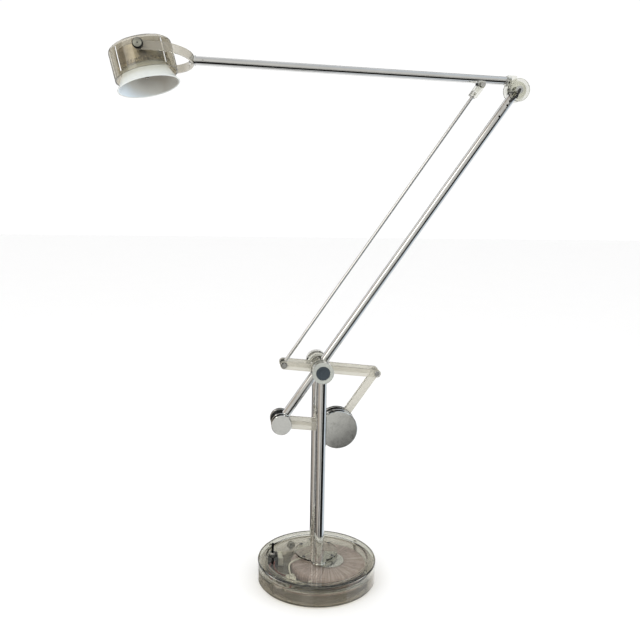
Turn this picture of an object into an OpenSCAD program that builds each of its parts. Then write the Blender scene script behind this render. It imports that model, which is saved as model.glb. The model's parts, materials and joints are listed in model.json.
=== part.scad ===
// Balanced-arm floor lamp: a clear drum base with its transformer inside, twin chrome
// posts, a double parallelogram linkage with a counterweight, and a tilting glass shade.
// Millimetres, +Z up, origin at the centre of the base where it meets the floor.
// The front of the lamp faces -Y, and the arm swings in a plane parallel to XZ.

/* [Base] */
// Outer diameter of the base drum
base_d = 260; // [250:1:320]
// Height of the base from the floor to the top of its rim
base_h = 49; // [46:1:70]
// Height of the lid's outer wall, above the seam
lid_h = 15; // [12:1:20]
// Wall thickness of the tray and the lid
base_wall = 3.5; // [2.5:0.5:5]
// Radial width of the raised rim
rim_w = 19; // [16:1:24]
// Depth of the dish inside the rim
dish_depth = 9; // [6:0.5:11]
// Thickness of the rubber pad under the base
pad_h = 3; // [2:0.5:6]

/* [Transformer] */
// Outer diameter of the toroidal transformer
toroid_d = 168; // [120:1:176]
// Diameter of the hole in the transformer
toroid_hole_d = 56; // [40:1:70]
// Height of the transformer
toroid_h = 24; // [18:1:24]
// Sideways place of the transformer's centre
toroid_x = 27; // [15:1:28]
// Front-to-back place of the transformer's centre
toroid_y = 12; // [0:1:20]

/* [Column] */
// Sideways place of the two posts
column_x = 4; // [-10:1:10]
// Front-to-back place of the middle between the posts
column_y = 40; // [36:1:42]
// Distance between the centre lines of the posts
post_gap = 96; // [92:1:110]
// Outer diameter of one post
post_d = 21; // [16:0.5:24]
// Wall of a post
post_wall = 2; // [1.5:0.25:3]
// Height of the hub's axis above the floor
hub_z = 472; // [390:1:600]
// Diameter of the hub's end housings
hub_d = 46; // [42:1:56]

/* [Main arm] */
// Hub axis to elbow axis
arm_len = 717; // [600:1:870]
// Hub axis to the axis of the tail drum
tail_len = 148; // [135:1:180]
// Outer diameter of the main arm's tube
arm_d = 19; // [16:0.5:21]
// Wall of the arm tubes
tube_wall = 1.2; // [1:0.1:2]
// Angle of the main arm above the horizontal
arm_angle = 55.5; // [45:0.5:70]
// Diameter of the chrome tail drum
tail_d = 44; // [38:1:50]

/* [Balance linkage] */
// Hub axis to the tie rod's pin
lever_front = 79; // [66:1:95]
// Hub axis to the balance link's pin
lever_back = 124; // [112:1:150]
// Height of the clear bars
bar_h = 17; // [14:0.5:20]
// Thickness of one clear bar
bar_t = 6; // [4:0.5:8]
// Gap between the two bars of the lever
bar_gap = 28; // [26:0.5:32]
// Width of the balance link
link_w = 16; // [12:0.5:20]
// Thickness of the balance link
link_t = 12; // [8:0.5:14]
// Diameter of the tie rod
rod_d = 7; // [5:0.5:9]
// Diameter of the counterweight discs
weight_d = 84; // [70:1:90]
// Thickness of the polished front disc
weight_front_t = 10.5; // [8:0.5:16]

/* [Forearm] */
// Outer diameter of the forearm's tube
fore_d = 17; // [14:0.5:18]
// Elbow axis to the head's axis
fore_len = 770; // [650:1:900]
// Height of the forearm's centre line above the elbow axis
fore_lift = 18; // [17:0.5:22]
// Angle of the forearm above the horizontal, rising towards the head
fore_tilt = 1.5; // [-5:0.5:10]
// Diameter of the elbow's clear discs
elbow_d = 47; // [42:1:56]
// Diameter of the knuckle between the discs
knuckle_d = 34; // [30:1:34]

/* [Head] */
// Outer diameter of the head's clear casing
head_d = 124; // [110:1:140]
// Height of the casing
head_h = 61; // [55:1:70]
// Height of the casing's top above the tilt axis
head_top = 22; // [18:1:30]
// Angle that the head leans, its top away from the arm
head_lean = 14; // [0:1:30]
// Angle that the yoke is turned about the forearm, the shade towards the front
yoke_turn = 10; // [-20:1:30]
// Diameter of the shade's rim
shade_d = 124; // [100:1:130]
// Diameter of the shade's neck
shade_neck_d = 86; // [70:1:90]
// How far the glass shade hangs below the casing
shade_drop = 21; // [14:1:28]
// Height of the yoke's band
yoke_h = 16; // [14:1:24]

/* [Fits] */
// Radial clearance of a pin that turns in its bore
run_fit = 0.05; // [0.02:0.01:0.1]
// Gap between faces that pass each other
gap = 0.3; // [0.3:0.05:0.6]
// Radial clearance of the open pivots, where a loop of the linkage closes
open_fit = 0.35; // [0.3:0.05:0.6]
// Radial clearance of pieces that are fixed together
seat_fit = 0.02; // [0.01:0.01:0.05]

/* [Hidden] */
$fn = 64;

// ---- base ----
base_r = base_d / 2;
seam_z = base_h - lid_h;
floor_t = base_wall;
floor_top = pad_h + floor_t;
rim_in_r = base_r - rim_w;
dish_z = base_h - dish_depth;
plate_under_z = dish_z - base_wall;
edge_r = 2.5;
lip_t = 3;
lip_h = 3;
lip_r = base_r - base_wall - gap;
boss_r = 3.5;
boss_ring_r = lip_r - lip_t - gap - boss_r;
boss_angles = [35, 145, 215, 325];
base_screw_r = 2;
base_screw_head_r = 3.2;
pad_r = boss_ring_r - base_screw_head_r - 2;

// ---- transformer ----
toroid_r = toroid_d / 2;
toroid_hole_r = toroid_hole_d / 2;
toroid_z = floor_top;
toroid_round = 8;
clamp_r = toroid_hole_r + 7;
clamp_t = 1.6;
clamp_head_t = 2.2;
clamp_head_r = 7;
clamp_bolt_r = 4;

// ---- switch, fuse and terminals, on the left of the base ----
switch_x = -base_r + 35;
switch_y = 38;
switch_w = 22;
switch_l = 30;
switch_body_h = 21;
switch_body_top = plate_under_z - 1;
bush_r = 5.9;
bush_bore_r = 4.2;
bush_rise = 5;
nut_r = 9;
nut_t = 2.6;
toggle_tilt = 12;
toggle_len = 21;
toggle_neck_r = 1.7;
toggle_tip_r = 3.1;
toggle_pin_r = 0.8;
toggle_pin_half = 3.4;
toggle_pivot_z = dish_z + 1;
fuse_x = switch_x + 18;
fuse_y = 63;
fuse_l = 42;
fuse_r = 6.5;
terminal_x = -60;
terminal_y = -38;
terminal_w = 22;
terminal_l = 24;
terminal_h = 17;
terminal_turn = 12;
pole_pitch = 11;
inlet_angle = 112;
inlet_z = 17;
inlet_r = 6;
inlet_bore_r = 3.6;
inlet_flange_r = 9;
inlet_flange_t = 2;
lead_r = 1.6;

// ---- column ----
post_r = post_d / 2;
post_front_y = column_y - post_gap / 2;
post_rear_y = column_y + post_gap / 2;
foot_plate_t = 3.5;
// Thin film between the flat faces of two clear pieces that are fixed together
film = 0.05;
foot_plate_r = post_gap / 2;
foot_lobe_r = post_r + 6;
foot_screw_dx = 32;
foot_screw_dy = 30;
foot_screw_r = 2;
stub_r = 5;
stub_head_r = 8;
stub_head_t = 3;
stub_plug_l = 20;
axle_r = 5;
post_top_z = hub_z - axle_r - 4;

// ---- hub, measured from the arm's plane ----
plate_in = bar_gap / 2;
plate_out = plate_in + bar_t;
housing_pad = 1.5;
housing_in = post_gap / 2 - post_r - housing_pad;
housing_out = post_gap / 2 + post_r + housing_pad;
hub_r = hub_d / 2;
cap_ring_t = 4;
cap_ring_in_r = 15;
cap_disc_t = 1.8;
rear_cap_t = 6;
spacer_r = hub_r - 3;
drum_r = hub_r - 3;
drum_half = plate_in - gap;

// ---- main arm ----
arm_r = arm_d / 2;
tail_r = tail_d / 2;
tail_pin_r = 4;
tail_cap_t = 7;
tail_washer_t = 2;
knuckle_r = knuckle_d / 2;
knuckle_half = arm_r + 1.1;
elbow_pin_r = 5;
elbow_flange_r = 8;
elbow_flange_t = 2.8;
cheek_t = 5;
cheek_in = knuckle_half + gap;
cheek_out = cheek_in + cheek_t;
groove_r = elbow_d / 2 - 6;
groove_w = 2;
groove_depth = 1;
arm_top_x = arm_len - elbow_pin_r - 2;
arm_bottom_x = -(tail_len - tail_pin_r - 2);
slot_from_elbow = elbow_d / 2 + 4;
elbow_lead_r = 2.4;
elbow_lead_bore_r = 2.7;
hole_from_elbow = [38, 66];
small_hole_r = 2.2;
// Route of the elbow lead in the arm's frame, measured from the elbow axis: along the arm,
// out to the front, and across it
lead_route = [
    [-slot_from_elbow, -4, 0], [-slot_from_elbow, -9, 0], [-slot_from_elbow, -13, 0],
    [-slot_from_elbow + 3, -18.5, 0], [-18, -22.5, -1], [-10, -24, -1], [-3.5, -24, 0],
    [0, -20.5, 0], [0, -16, 0]
];

// ---- linkage ----
pin_r = 3;
eye_r = 8;
pin_head_r = 6;
pin_head_t = 2.4;
rod_eye_half = 5;
rod_r = rod_d / 2;
link_half = link_t / 2;
bar_eye_r = 13;
weight_r = weight_d / 2;
weight_pin_r = 4;
weight_round = 1.2;
prong_t = 4;
prong_in = fore_d / 2 + 0.8;
prong_out = prong_in + prong_t;
prong_r = 6.5;
prong_reach = 18;
clevis_len = 28;

// ---- forearm ----
fore_r = fore_d / 2;
fore_start_x = -sqrt(pow(knuckle_r + gap, 2) - pow(fore_lift - fore_r, 2)) - 1;
saddle_pin_r = 2.5;
anchor_z = fore_lift - fore_r - saddle_pin_r - 1;
lever_lead = asin(anchor_z / lever_front);
lever_tilt = fore_tilt + lever_lead;
anchor_x = -lever_front * cos(lever_lead);
fore_plug_l = 22;
saddle_half = prong_in - gap;
saddle_len = 16;
block_x0 = -23;
block_x1 = -5;
block_half = cheek_in - seat_fit;

// ---- head, measured from the tilt axis ----
head_r = head_d / 2;
casing_wall = 2.5;
casing_round = 6;
head_bottom = head_top - head_h;
yoke_t = 4.5;
yoke_in = head_r + 4;
yoke_out = yoke_in + yoke_t;
yoke_reach = 30;
yoke_face_x = -fore_len + yoke_reach + yoke_out;
collar_t = 3.5;
collar_r = fore_r + 1.5;
bolt_r = 5;
bolt_head_r = 7.5;
bolt_head_t = 3;
bolt_head_x = yoke_face_x - yoke_t - pow(bolt_head_r, 2) / yoke_in - gap;
fore_end_x = yoke_face_x + gap + collar_t;
fore_screw_x = [fore_end_x + 14, block_x0 - 3];
knob_r = 10;
knob_t = 8;
knob_shank_r = 4;
pivot_boss_r = 8;
slit_angles = [-45, 45, 135, 225];
slit_w = 3.2;
slit_low = head_bottom + 5;
slit_high = head_top - 7;
can_r = head_r - 12;
can_low = -17;
can_high = head_top - 7;
fin_count = 40;
fin_depth = 3;
fin_h = 7;
shade_low = head_bottom - shade_drop;
shade_high = can_low - 0.5;
shade_h = shade_high - shade_low;
shade_t = 2.6;
holder_r = 9;
bulb_r = 5.5;
bulb_low = shade_high - 26;

// Places of the linkage's pins in the world, as [x, z] in the arm's plane
hub_p = [column_x, hub_z];
arm_dir = [cos(arm_angle), sin(arm_angle)];
lever_dir = [cos(lever_tilt), -sin(lever_tilt)];
elbow_p = hub_p + arm_len * arm_dir;
tail_p = hub_p - tail_len * arm_dir;
rod_p = hub_p - lever_front * lever_dir;
link_p = hub_p + lever_back * lever_dir;

// ---- frames ----
module at_pin(p) {
    translate([p[0], column_y, p[1]]) children();
}

module arm_frame(p) {
    at_pin(p) rotate([0, -arm_angle, 0]) children();
}

module lever_frame(p) {
    at_pin(p) rotate([0, lever_tilt, 0]) children();
}

module forearm_frame() {
    at_pin(elbow_p) rotate([0, fore_tilt, 0]) children();
}

module yoke_frame() {
    forearm_frame() translate([-fore_len, 0, fore_lift]) rotate([-yoke_turn, 0, 0]) children();
}

module head_frame() {
    yoke_frame() rotate([0, -head_lean - fore_tilt, 0]) children();
}

// ---- shared shapes ----
// Round bar along Y, from y0 to y1
module yrod(r, y0, y1) {
    translate([0, y0, 0]) rotate([-90, 0, 0]) cylinder(r = r, h = y1 - y0);
}

// Round bar along Y between two places given in either order
module spacer_ring(r, one, other) {
    yrod(r, min(one, other), max(one, other));
}

// Round bar along X, from x0 to x1
module xrod(r, x0, x1) {
    translate([x0, 0, 0]) rotate([0, 90, 0]) cylinder(r = r, h = x1 - x0);
}

// Disc along Y with both edges rounded by a short cone
module soft_disc(r, y0, y1, soft) {
    translate([0, y0, 0]) rotate([-90, 0, 0]) rotate_extrude()
        polygon([[0, 0], [r - soft, 0], [r, soft], [r, y1 - y0 - soft], [r - soft, y1 - y0], [0, y1 - y0]]);
}

// Flat bar along X with round eyes at both ends, from y0 to y1
module flat_bar(x0, x1, h, y0, y1) {
    translate([0, y1, 0]) rotate([90, 0, 0]) linear_extrude(y1 - y0) {
        translate([x0, -h / 2]) square([x1 - x0, h]);
        translate([x0, 0]) circle(r = h / 2);
        translate([x1, 0]) circle(r = h / 2);
    }
}

// Round tube along X
module xtube(r, wall, x0, x1) {
    difference() {
        xrod(r, x0, x1);
        xrod(r - wall, x0 - 1, x1 + 1);
    }
}

function unit(v) = v / norm(v);
function spline(a, b, c, d, t) = 0.5 * ((2 * b) + (c - a) * t + (2 * a - 5 * b + 4 * c - d) * t * t
    + (3 * b - a - 3 * c + d) * t * t * t);
// Points on a smooth curve through a route, with a few steps in each stretch
function smooth(route, steps) = [
    for (i = [0 : len(route) - 2])
        for (s = [0 : steps - 1])
            spline(route[max(i - 1, 0)], route[i], route[i + 1], route[min(i + 2, len(route) - 1)], s / steps),
    route[len(route) - 1]
];
function ring(p, tangent, side, r, sides) =
    let (u = unit(cross(tangent, side)), v = unit(cross(u, tangent)))
    [for (k = [0 : sides - 1]) p + r * cos(360 * k / sides) * u + r * sin(360 * k / sides) * v];

// Soft lead of radius r along a route, where no stretch runs along side
module lead(route, r, side, steps = 2, sides = 8) {
    path = smooth(route, steps);
    n = len(path);
    rings = [for (i = [0 : n - 1]) ring(path[i], unit(path[min(i + 1, n - 1)] - path[max(i - 1, 0)]), side, r, sides)];
    points = [for (one = rings) for (p = one) p];
    walls = [for (i = [0 : n - 2]) for (k = [0 : sides - 1])
        [i * sides + k, i * sides + (k + 1) % sides, (i + 1) * sides + (k + 1) % sides, (i + 1) * sides + k]];
    first = [for (k = [0 : sides - 1]) sides - 1 - k];
    last = [for (k = [0 : sides - 1]) (n - 1) * sides + k];
    polyhedron(points, concat([first], walls, [last]), convexity = 6);
}

module around(radius, angles) {
    for (a = angles) rotate([0, 0, a]) translate([radius, 0, 0]) children();
}

// ---- base ----
module base_pad() {
    color("dimgray") cylinder(r = pad_r, h = pad_h);
}

module base_tray() {
    inner_r = base_r - base_wall;
    color([0.62, 0.6, 0.55, 0.6]) difference() {
        union() {
            rotate_extrude() polygon([
                [0, pad_h], [base_r - edge_r, pad_h], [base_r - edge_r * 0.3, pad_h + edge_r * 0.3],
                [base_r, pad_h + edge_r], [base_r, seam_z], [lip_r, seam_z], [lip_r, seam_z + lip_h],
                [lip_r - lip_t, seam_z + lip_h], [lip_r - lip_t, seam_z - lip_h], [inner_r, seam_z - 2 * lip_h],
                [inner_r, floor_top], [0, floor_top]
            ]);
            around(boss_ring_r, boss_angles)
                translate([0, 0, floor_top - 0.5]) cylinder(r = boss_r, h = seam_z - floor_top);
        }
        around(boss_ring_r, boss_angles) {
            cylinder(r = base_screw_r + 0.2, h = base_h);
            translate([0, 0, pad_h - 1]) cylinder(r = base_screw_head_r + 0.2, h = 3);
        }
        rotate([0, 0, inlet_angle]) translate([0, 0, inlet_z])
            xrod(inlet_r + seat_fit, base_r - base_wall - 5, base_r + 5);
        translate([toroid_x, toroid_y, pad_h + 0.5]) cylinder(r = clamp_bolt_r + seat_fit, h = floor_t);
    }
}

module base_cover() {
    inner_r = base_r - base_wall;
    skirt_r = rim_in_r + base_wall;
    color([0.72, 0.72, 0.67, 0.5]) difference() {
        union() {
            rotate_extrude() polygon([
                [0, plate_under_z], [skirt_r, plate_under_z], [skirt_r, base_h - base_wall],
                [inner_r, base_h - base_wall], [inner_r, seam_z + seat_fit], [base_r, seam_z + seat_fit],
                [base_r, base_h - edge_r], [base_r - edge_r * 0.3, base_h - edge_r * 0.3],
                [base_r - edge_r, base_h], [rim_in_r + 1, base_h], [rim_in_r, base_h - 1],
                [rim_in_r, dish_z], [0, dish_z]
            ]);
            around(boss_ring_r, boss_angles)
                translate([0, 0, seam_z]) cylinder(r = boss_r, h = base_h - base_wall - seam_z + 0.5);
        }
        around(boss_ring_r, boss_angles)
            translate([0, 0, seam_z - 1]) cylinder(r = base_screw_r + seat_fit, h = 8);
        translate([switch_x, switch_y, plate_under_z - 1]) cylinder(r = bush_r + seat_fit, h = base_wall + 2);
        for (y = [post_front_y, post_rear_y])
            translate([column_x, y, plate_under_z - 1]) cylinder(r = stub_r + seat_fit, h = base_wall + 2);
        foot_screw_places() translate([0, 0, plate_under_z - 1])
            cylinder(r = foot_screw_r + seat_fit, h = base_wall + 2);
    }
}

module base_screws() {
    color("silver") around(boss_ring_r, boss_angles) {
        translate([0, 0, pad_h]) cylinder(r = base_screw_head_r, h = 1.9);
        translate([0, 0, pad_h]) cylinder(r = base_screw_r, h = seam_z - pad_h + 6);
    }
}

// ---- transformer ----
module toroid_winding() {
    c = toroid_round;
    k = c * 0.3;
    color([0.55, 0.42, 0.38]) translate([toroid_x, toroid_y, toroid_z]) rotate_extrude() polygon([
        [toroid_hole_r + c, 0], [toroid_r - c, 0], [toroid_r - k, k], [toroid_r, c],
        [toroid_r, toroid_h - c], [toroid_r - k, toroid_h - k], [toroid_r - c, toroid_h],
        [toroid_hole_r + c, toroid_h], [toroid_hole_r + k, toroid_h - k], [toroid_hole_r, toroid_h - c],
        [toroid_hole_r, c], [toroid_hole_r + k, k]
    ]);
}

module toroid_clamp() {
    top = toroid_z + toroid_h;
    color("silver") translate([toroid_x, toroid_y, 0]) {
        translate([0, 0, top]) cylinder(r = clamp_r, h = clamp_t);
        translate([0, 0, top + clamp_t]) cylinder(r = clamp_head_r, h = clamp_head_t, $fn = 6);
        translate([0, 0, pad_h + 0.5]) cylinder(r = clamp_bolt_r, h = top - pad_h);
    }
}

// ---- electrics beside the transformer ----
module terminal_frame() {
    translate([terminal_x, terminal_y, floor_top]) rotate([0, 0, terminal_turn]) children();
}

module terminal_block() {
    color([0.85, 0.84, 0.8]) terminal_frame() difference() {
        union() {
            translate([-terminal_w / 2, -terminal_l / 2, 0]) cube([terminal_w, terminal_l, terminal_h * 0.55]);
            for (x = [-1, 1])
                translate([x * pole_pitch / 2, 0, terminal_h * 0.5]) rotate([90, 0, 0])
                    cylinder(r = pole_pitch / 2 - 0.4, h = terminal_l - 3, center = true);
            for (x = [-1, 1], y = [-1, 1])
                translate([x * pole_pitch / 2, y * terminal_l * 0.26, 0]) cylinder(r = 4, h = terminal_h);
        }
        for (x = [-1, 1]) {
            translate([x * pole_pitch / 2, 0, terminal_h * 0.45]) rotate([90, 0, 0])
                cylinder(r = 2.2, h = terminal_l + 2, center = true);
            for (y = [-1, 1])
                translate([x * pole_pitch / 2, y * terminal_l * 0.26, terminal_h * 0.6]) cylinder(r = 2.6, h = terminal_h);
        }
    }
}

module terminal_screws() {
    color("gold") terminal_frame() for (x = [-1, 1], y = [-1, 1])
        translate([x * pole_pitch / 2, y * terminal_l * 0.26, terminal_h * 0.6]) difference() {
            cylinder(r = 2.4, h = 4);
            translate([-3, -0.4, 3]) cube([6, 0.8, 2]);
        }
}

module switch_body() {
    color([0.12, 0.12, 0.12]) translate([switch_x, switch_y, switch_body_top - switch_body_h]) {
        translate([-switch_w / 2, -switch_l / 2, 0]) cube([switch_w, switch_l, switch_body_h]);
        for (y = [-9, 0, 9])
            translate([-2.5, y - 0.5, -4]) cube([5, 1, 4.5]);
    }
}

module switch_bushing() {
    color("silver") translate([switch_x, switch_y, 0]) difference() {
        union() {
            translate([0, 0, switch_body_top]) cylinder(r = bush_r, h = dish_z + bush_rise - switch_body_top);
            translate([0, 0, dish_z]) cylinder(r = nut_r, h = nut_t, $fn = 6);
        }
        translate([0, 0, switch_body_top + 1]) cylinder(r = bush_bore_r, h = 30);
    }
}

module switch_lever() {
    color([0.05, 0.05, 0.05]) translate([switch_x, switch_y, toggle_pivot_z]) rotate([-toggle_tilt, 0, 0]) {
        xrod(toggle_pin_r, -toggle_pin_half, toggle_pin_half);
        rotate_extrude() polygon([
            [0, -2.4], [1.6, -2], [2.4, 0], [toggle_neck_r, 2.4], [toggle_neck_r, 5],
            [toggle_tip_r, toggle_len], [toggle_tip_r * 0.85, toggle_len + 1.4],
            [toggle_tip_r * 0.5, toggle_len + 2.2], [0, toggle_len + 2.5]
        ]);
    }
}

module fuse_holder() {
    color([0.86, 0.85, 0.8]) translate([fuse_x, fuse_y, floor_top]) {
        translate([-fuse_r, -fuse_l / 2, 0]) cube([2 * fuse_r, fuse_l, 5]);
        translate([0, 0, 9]) yrod(fuse_r - 0.5, -fuse_l / 2 + 3, fuse_l / 2 - 3);
        translate([-fuse_r, -fuse_l / 2 + 4, 4]) cube([2 * fuse_r, 4, 12]);
        translate([-fuse_r, fuse_l / 2 - 8, 4]) cube([2 * fuse_r, 4, 12]);
    }
}

module cord_inlet() {
    color([0.08, 0.08, 0.08]) rotate([0, 0, inlet_angle]) translate([0, 0, inlet_z]) difference() {
        union() {
            xrod(inlet_r, base_r - base_wall - 4, base_r + inlet_flange_t);
            xrod(inlet_flange_r, base_r + 0.1, base_r + inlet_flange_t);
            xrod(inlet_flange_r, base_r - base_wall - 4, base_r - base_wall - 1);
        }
        xrod(inlet_bore_r, base_r - base_wall - 6, base_r + inlet_flange_t + 2);
    }
}

module mains_leads() {
    color([0.4, 0.16, 0.12]) {
        lead([[-100, 22.5, 24], [-104, 6, 23], [-105, -12, 21], [-101, -32, 18], [-92, -50, 16], [-80, -61, 15],
            [-69, -64.5, 14.3], [-62.4, -61.5, 14.15], [-61.9, -55.8, 14.15], [-63.5, -48, 14.15]],
            lead_r, [0, 0, 1]);
        lead([[-92, 22.5, 28], [-94, 9, 26], [-92, -3, 22], [-84, -11, 17], [-76, -14.5, 14.6],
            [-70.5, -18, 14.15], [-68.7, -23.5, 14.15], [-67.3, -30, 14.15]], lead_r, [0, 0, 1]);
    }
}

module lamp_leads() {
    color([0.88, 0.87, 0.84]) {
        lead([[-56.5, -28, 14.15], [-58.1, -20.2, 14.6], [-60, -13, 18], [-61.5, -6, 25], [-60, 1, 31.5],
            [-52, 8, 33.6], [-36, 19, 33.6], [-20, 30, 33.6], [-8, 41, 33.6]], lead_r, [1, 0, 0]);
        lead([[-52.6, -46.3, 14.15], [-51.1, -53.5, 14.15], [-48, -61, 15], [-41, -67, 18], [-32, -68, 21],
            [-24, -64.5, 22], [-19, -60, 22]], lead_r, [0, 0, 1]);
    }
}

// ---- column ----
module foot_screw_places() {
    for (x = [-1, 1], y = [-1, 1])
        translate([column_x + x * foot_screw_dx, column_y + y * foot_screw_dy, 0]) children();
}

module column_plate() {
    color([0.75, 0.77, 0.7, 0.5]) translate([0, 0, dish_z]) difference() {
        translate([0, 0, film]) linear_extrude(foot_plate_t - film) {
            translate([column_x, column_y]) circle(r = foot_plate_r);
            for (y = [post_front_y, post_rear_y]) translate([column_x, y]) circle(r = foot_lobe_r);
        }
        for (y = [post_front_y, post_rear_y])
            translate([column_x, y, -1]) cylinder(r = post_r + seat_fit, h = foot_plate_t + 2);
        foot_screw_places() translate([0, 0, -1]) cylinder(r = foot_screw_r + seat_fit, h = foot_plate_t + 2);
    }
}

module column_screws() {
    color("silver") foot_screw_places() {
        translate([0, 0, plate_under_z]) cylinder(r = foot_screw_r, h = base_wall + foot_plate_t + 0.5);
        translate([0, 0, dish_z + foot_plate_t]) difference() {
            cylinder(r = 4, h = 1.8);
            translate([-5, -0.5, 1]) cube([10, 1, 2]);
        }
    }
}

module posts() {
    color("gainsboro") for (y = [post_front_y, post_rear_y]) translate([column_x, y, dish_z]) difference() {
        cylinder(r = post_r, h = post_top_z - dish_z);
        translate([0, 0, -1]) cylinder(r = post_r - post_wall, h = post_top_z - dish_z + 2);
    }
}

module post_bolts() {
    color([0.2, 0.2, 0.2]) for (y = [post_front_y, post_rear_y]) translate([column_x, y, 0]) {
        translate([0, 0, plate_under_z - stub_head_t]) cylinder(r = stub_head_r, h = stub_head_t);
        translate([0, 0, plate_under_z - 1]) cylinder(r = stub_r, h = base_wall + 2);
        translate([0, 0, dish_z]) cylinder(r = post_r - post_wall - seat_fit, h = stub_plug_l);
    }
}

// ---- hub ----
module hub_housings() {
    color([0.78, 0.8, 0.72, 0.5]) for (s = [-1, 1]) difference() {
        at_pin(hub_p) yrod(hub_r, min(s * housing_in, s * housing_out), max(s * housing_in, s * housing_out));
        at_pin(hub_p) yrod(axle_r + seat_fit, -housing_out - 1, housing_out + 1);
        translate([column_x, column_y + s * post_gap / 2, hub_z - hub_r - 5])
            cylinder(r = post_r + seat_fit, h = post_top_z - hub_z + hub_r + 5);
    }
}

module hub_cap_ring() {
    y = -housing_out - cap_ring_t;
    color("lightgray") at_pin(hub_p) difference() {
        soft_disc(hub_r, y, -housing_out, 1.2);
        yrod(cap_ring_in_r, y - 1, -housing_out + 1);
    }
}

module hub_cap_disc() {
    y = -housing_out - cap_disc_t;
    color([0.22, 0.24, 0.26]) at_pin(hub_p) difference() {
        union() {
            yrod(cap_ring_in_r - seat_fit, y, -housing_out);
            yrod(8, y - 1, y + 0.5);
        }
        yrod(2, y - 2, y + 0.3, $fn = 6);
    }
}

module hub_rear_cap() {
    color([0.8, 0.82, 0.74, 0.5]) at_pin(hub_p)
        soft_disc(hub_r + 1, housing_out + film, housing_out + rear_cap_t, 1.5);
}

module hub_axle() {
    color("silver") at_pin(hub_p) yrod(axle_r, -housing_out + gap, housing_out - gap);
}

module hub_spacers() {
    color([0.76, 0.78, 0.7, 0.6]) at_pin(hub_p) for (s = [-1, 1])
        difference() {
            spacer_ring(spacer_r, s * (plate_out + gap), s * (housing_in - film));
            yrod(axle_r + seat_fit, -housing_out, housing_out);
        }
}

// ---- main arm ----
module main_tube() {
    color("gainsboro") arm_frame(hub_p) difference() {
        xtube(arm_r, tube_wall, arm_bottom_x, arm_top_x);
        yrod(axle_r + gap, -arm_r - 1, arm_r + 1);
        translate([arm_len - slot_from_elbow, 0, 0]) yrod(elbow_lead_r + 0.6, -arm_r - 1, 0);
        for (d = hole_from_elbow) translate([arm_len - d, 0, 0]) yrod(small_hole_r, -arm_r - 1, 0);
    }
}

module arm_hub_drum() {
    color([0.76, 0.78, 0.7, 0.6]) arm_frame(hub_p) difference() {
        yrod(drum_r, -drum_half, drum_half);
        yrod(axle_r + run_fit, -drum_half - 1, drum_half + 1);
        xrod(arm_r + seat_fit, -drum_r - 5, drum_r + 5);
    }
}

module tail_drum() {
    color("lightgray") arm_frame(tail_p) difference() {
        soft_disc(tail_r, -drum_half, drum_half, 0.8);
        yrod(tail_pin_r + seat_fit, -drum_half - 1, drum_half + 1);
        xrod(arm_r + seat_fit, tail_pin_r + 1.5, tail_r + 5);
    }
}

module tail_pin() {
    half = plate_out + tail_washer_t + tail_cap_t - 2;
    color("silver") arm_frame(tail_p) yrod(tail_pin_r, -half, half);
}

module tail_caps() {
    y0 = plate_out + tail_washer_t + 2 * gap;
    y1 = y0 + tail_cap_t;
    color("lightgray") arm_frame(tail_p) for (s = [-1, 1]) difference() {
        soft_disc(tail_r, min(s * y0, s * y1), max(s * y0, s * y1), 0.8);
        yrod(tail_pin_r + seat_fit, -y1 + 2, y1 - 2);
    }
}

module tail_washers() {
    y0 = plate_out + gap;
    y1 = y0 + tail_washer_t;
    color([0.06, 0.06, 0.06]) arm_frame(tail_p) for (s = [-1, 1]) difference() {
        yrod(tail_r - 2, min(s * y0, s * y1), max(s * y0, s * y1));
        yrod(tail_pin_r + seat_fit, -y1 - 1, y1 + 1);
    }
}

module elbow_knuckle() {
    color([0.76, 0.78, 0.7, 0.6]) arm_frame(elbow_p) difference() {
        yrod(knuckle_r, -knuckle_half, knuckle_half);
        yrod(elbow_pin_r + seat_fit, -knuckle_half - 1, knuckle_half + 1);
        xrod(arm_r + seat_fit, -knuckle_r - 5, -elbow_pin_r - 1.5);
    }
}

module elbow_pin() {
    y1 = cheek_out + gap + elbow_flange_t;
    color("silver") arm_frame(elbow_p) difference() {
        union() {
            yrod(elbow_pin_r, -y1 + 0.5, y1 - 0.5);
            yrod(elbow_flange_r, -y1, -cheek_out - gap);
            yrod(elbow_flange_r, cheek_out + gap, y1);
        }
        yrod(elbow_lead_bore_r, -y1 - 1, -knuckle_half);
    }
}

module elbow_lead() {
    color([0.05, 0.05, 0.05]) arm_frame(elbow_p) lead(lead_route, elbow_lead_r, [0, 0, 1]);
}

// ---- balance lever ----
module lever_plates() {
    color([0.8, 0.8, 0.72, 0.6]) lever_frame(hub_p) for (y0 = [-plate_out, plate_in]) difference() {
        union() {
            flat_bar(-lever_front, lever_back, bar_h, y0, y0 + bar_t);
            yrod(spacer_r, y0, y0 + bar_t);
        }
        yrod(axle_r + run_fit, y0 - 1, y0 + bar_t + 1);
        for (x = [-lever_front, lever_back])
            translate([x, 0, 0]) yrod(pin_r + seat_fit, y0 - 1, y0 + bar_t + 1);
    }
}

module lever_pins() {
    y1 = plate_out + pin_head_t;
    color("silver") lever_frame(hub_p) for (x = [-lever_front, lever_back]) translate([x, 0, 0]) {
        yrod(pin_r, -y1 + 0.5, y1 - 0.5);
        soft_disc(pin_head_r, -y1, -plate_out, 0.6);
        soft_disc(pin_head_r, plate_out, y1, 0.6);
    }
}

module lever_spacers() {
    color([0.76, 0.78, 0.7, 0.7]) lever_frame(hub_p) for (place = [[-lever_front, rod_eye_half], [lever_back, link_half]])
        for (s = [-1, 1]) translate([place[0], 0, 0]) difference() {
            spacer_ring(eye_r - 2, s * (place[1] + gap), s * (plate_in - film));
            yrod(pin_r + seat_fit, -plate_out, plate_out);
        }
}

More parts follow.
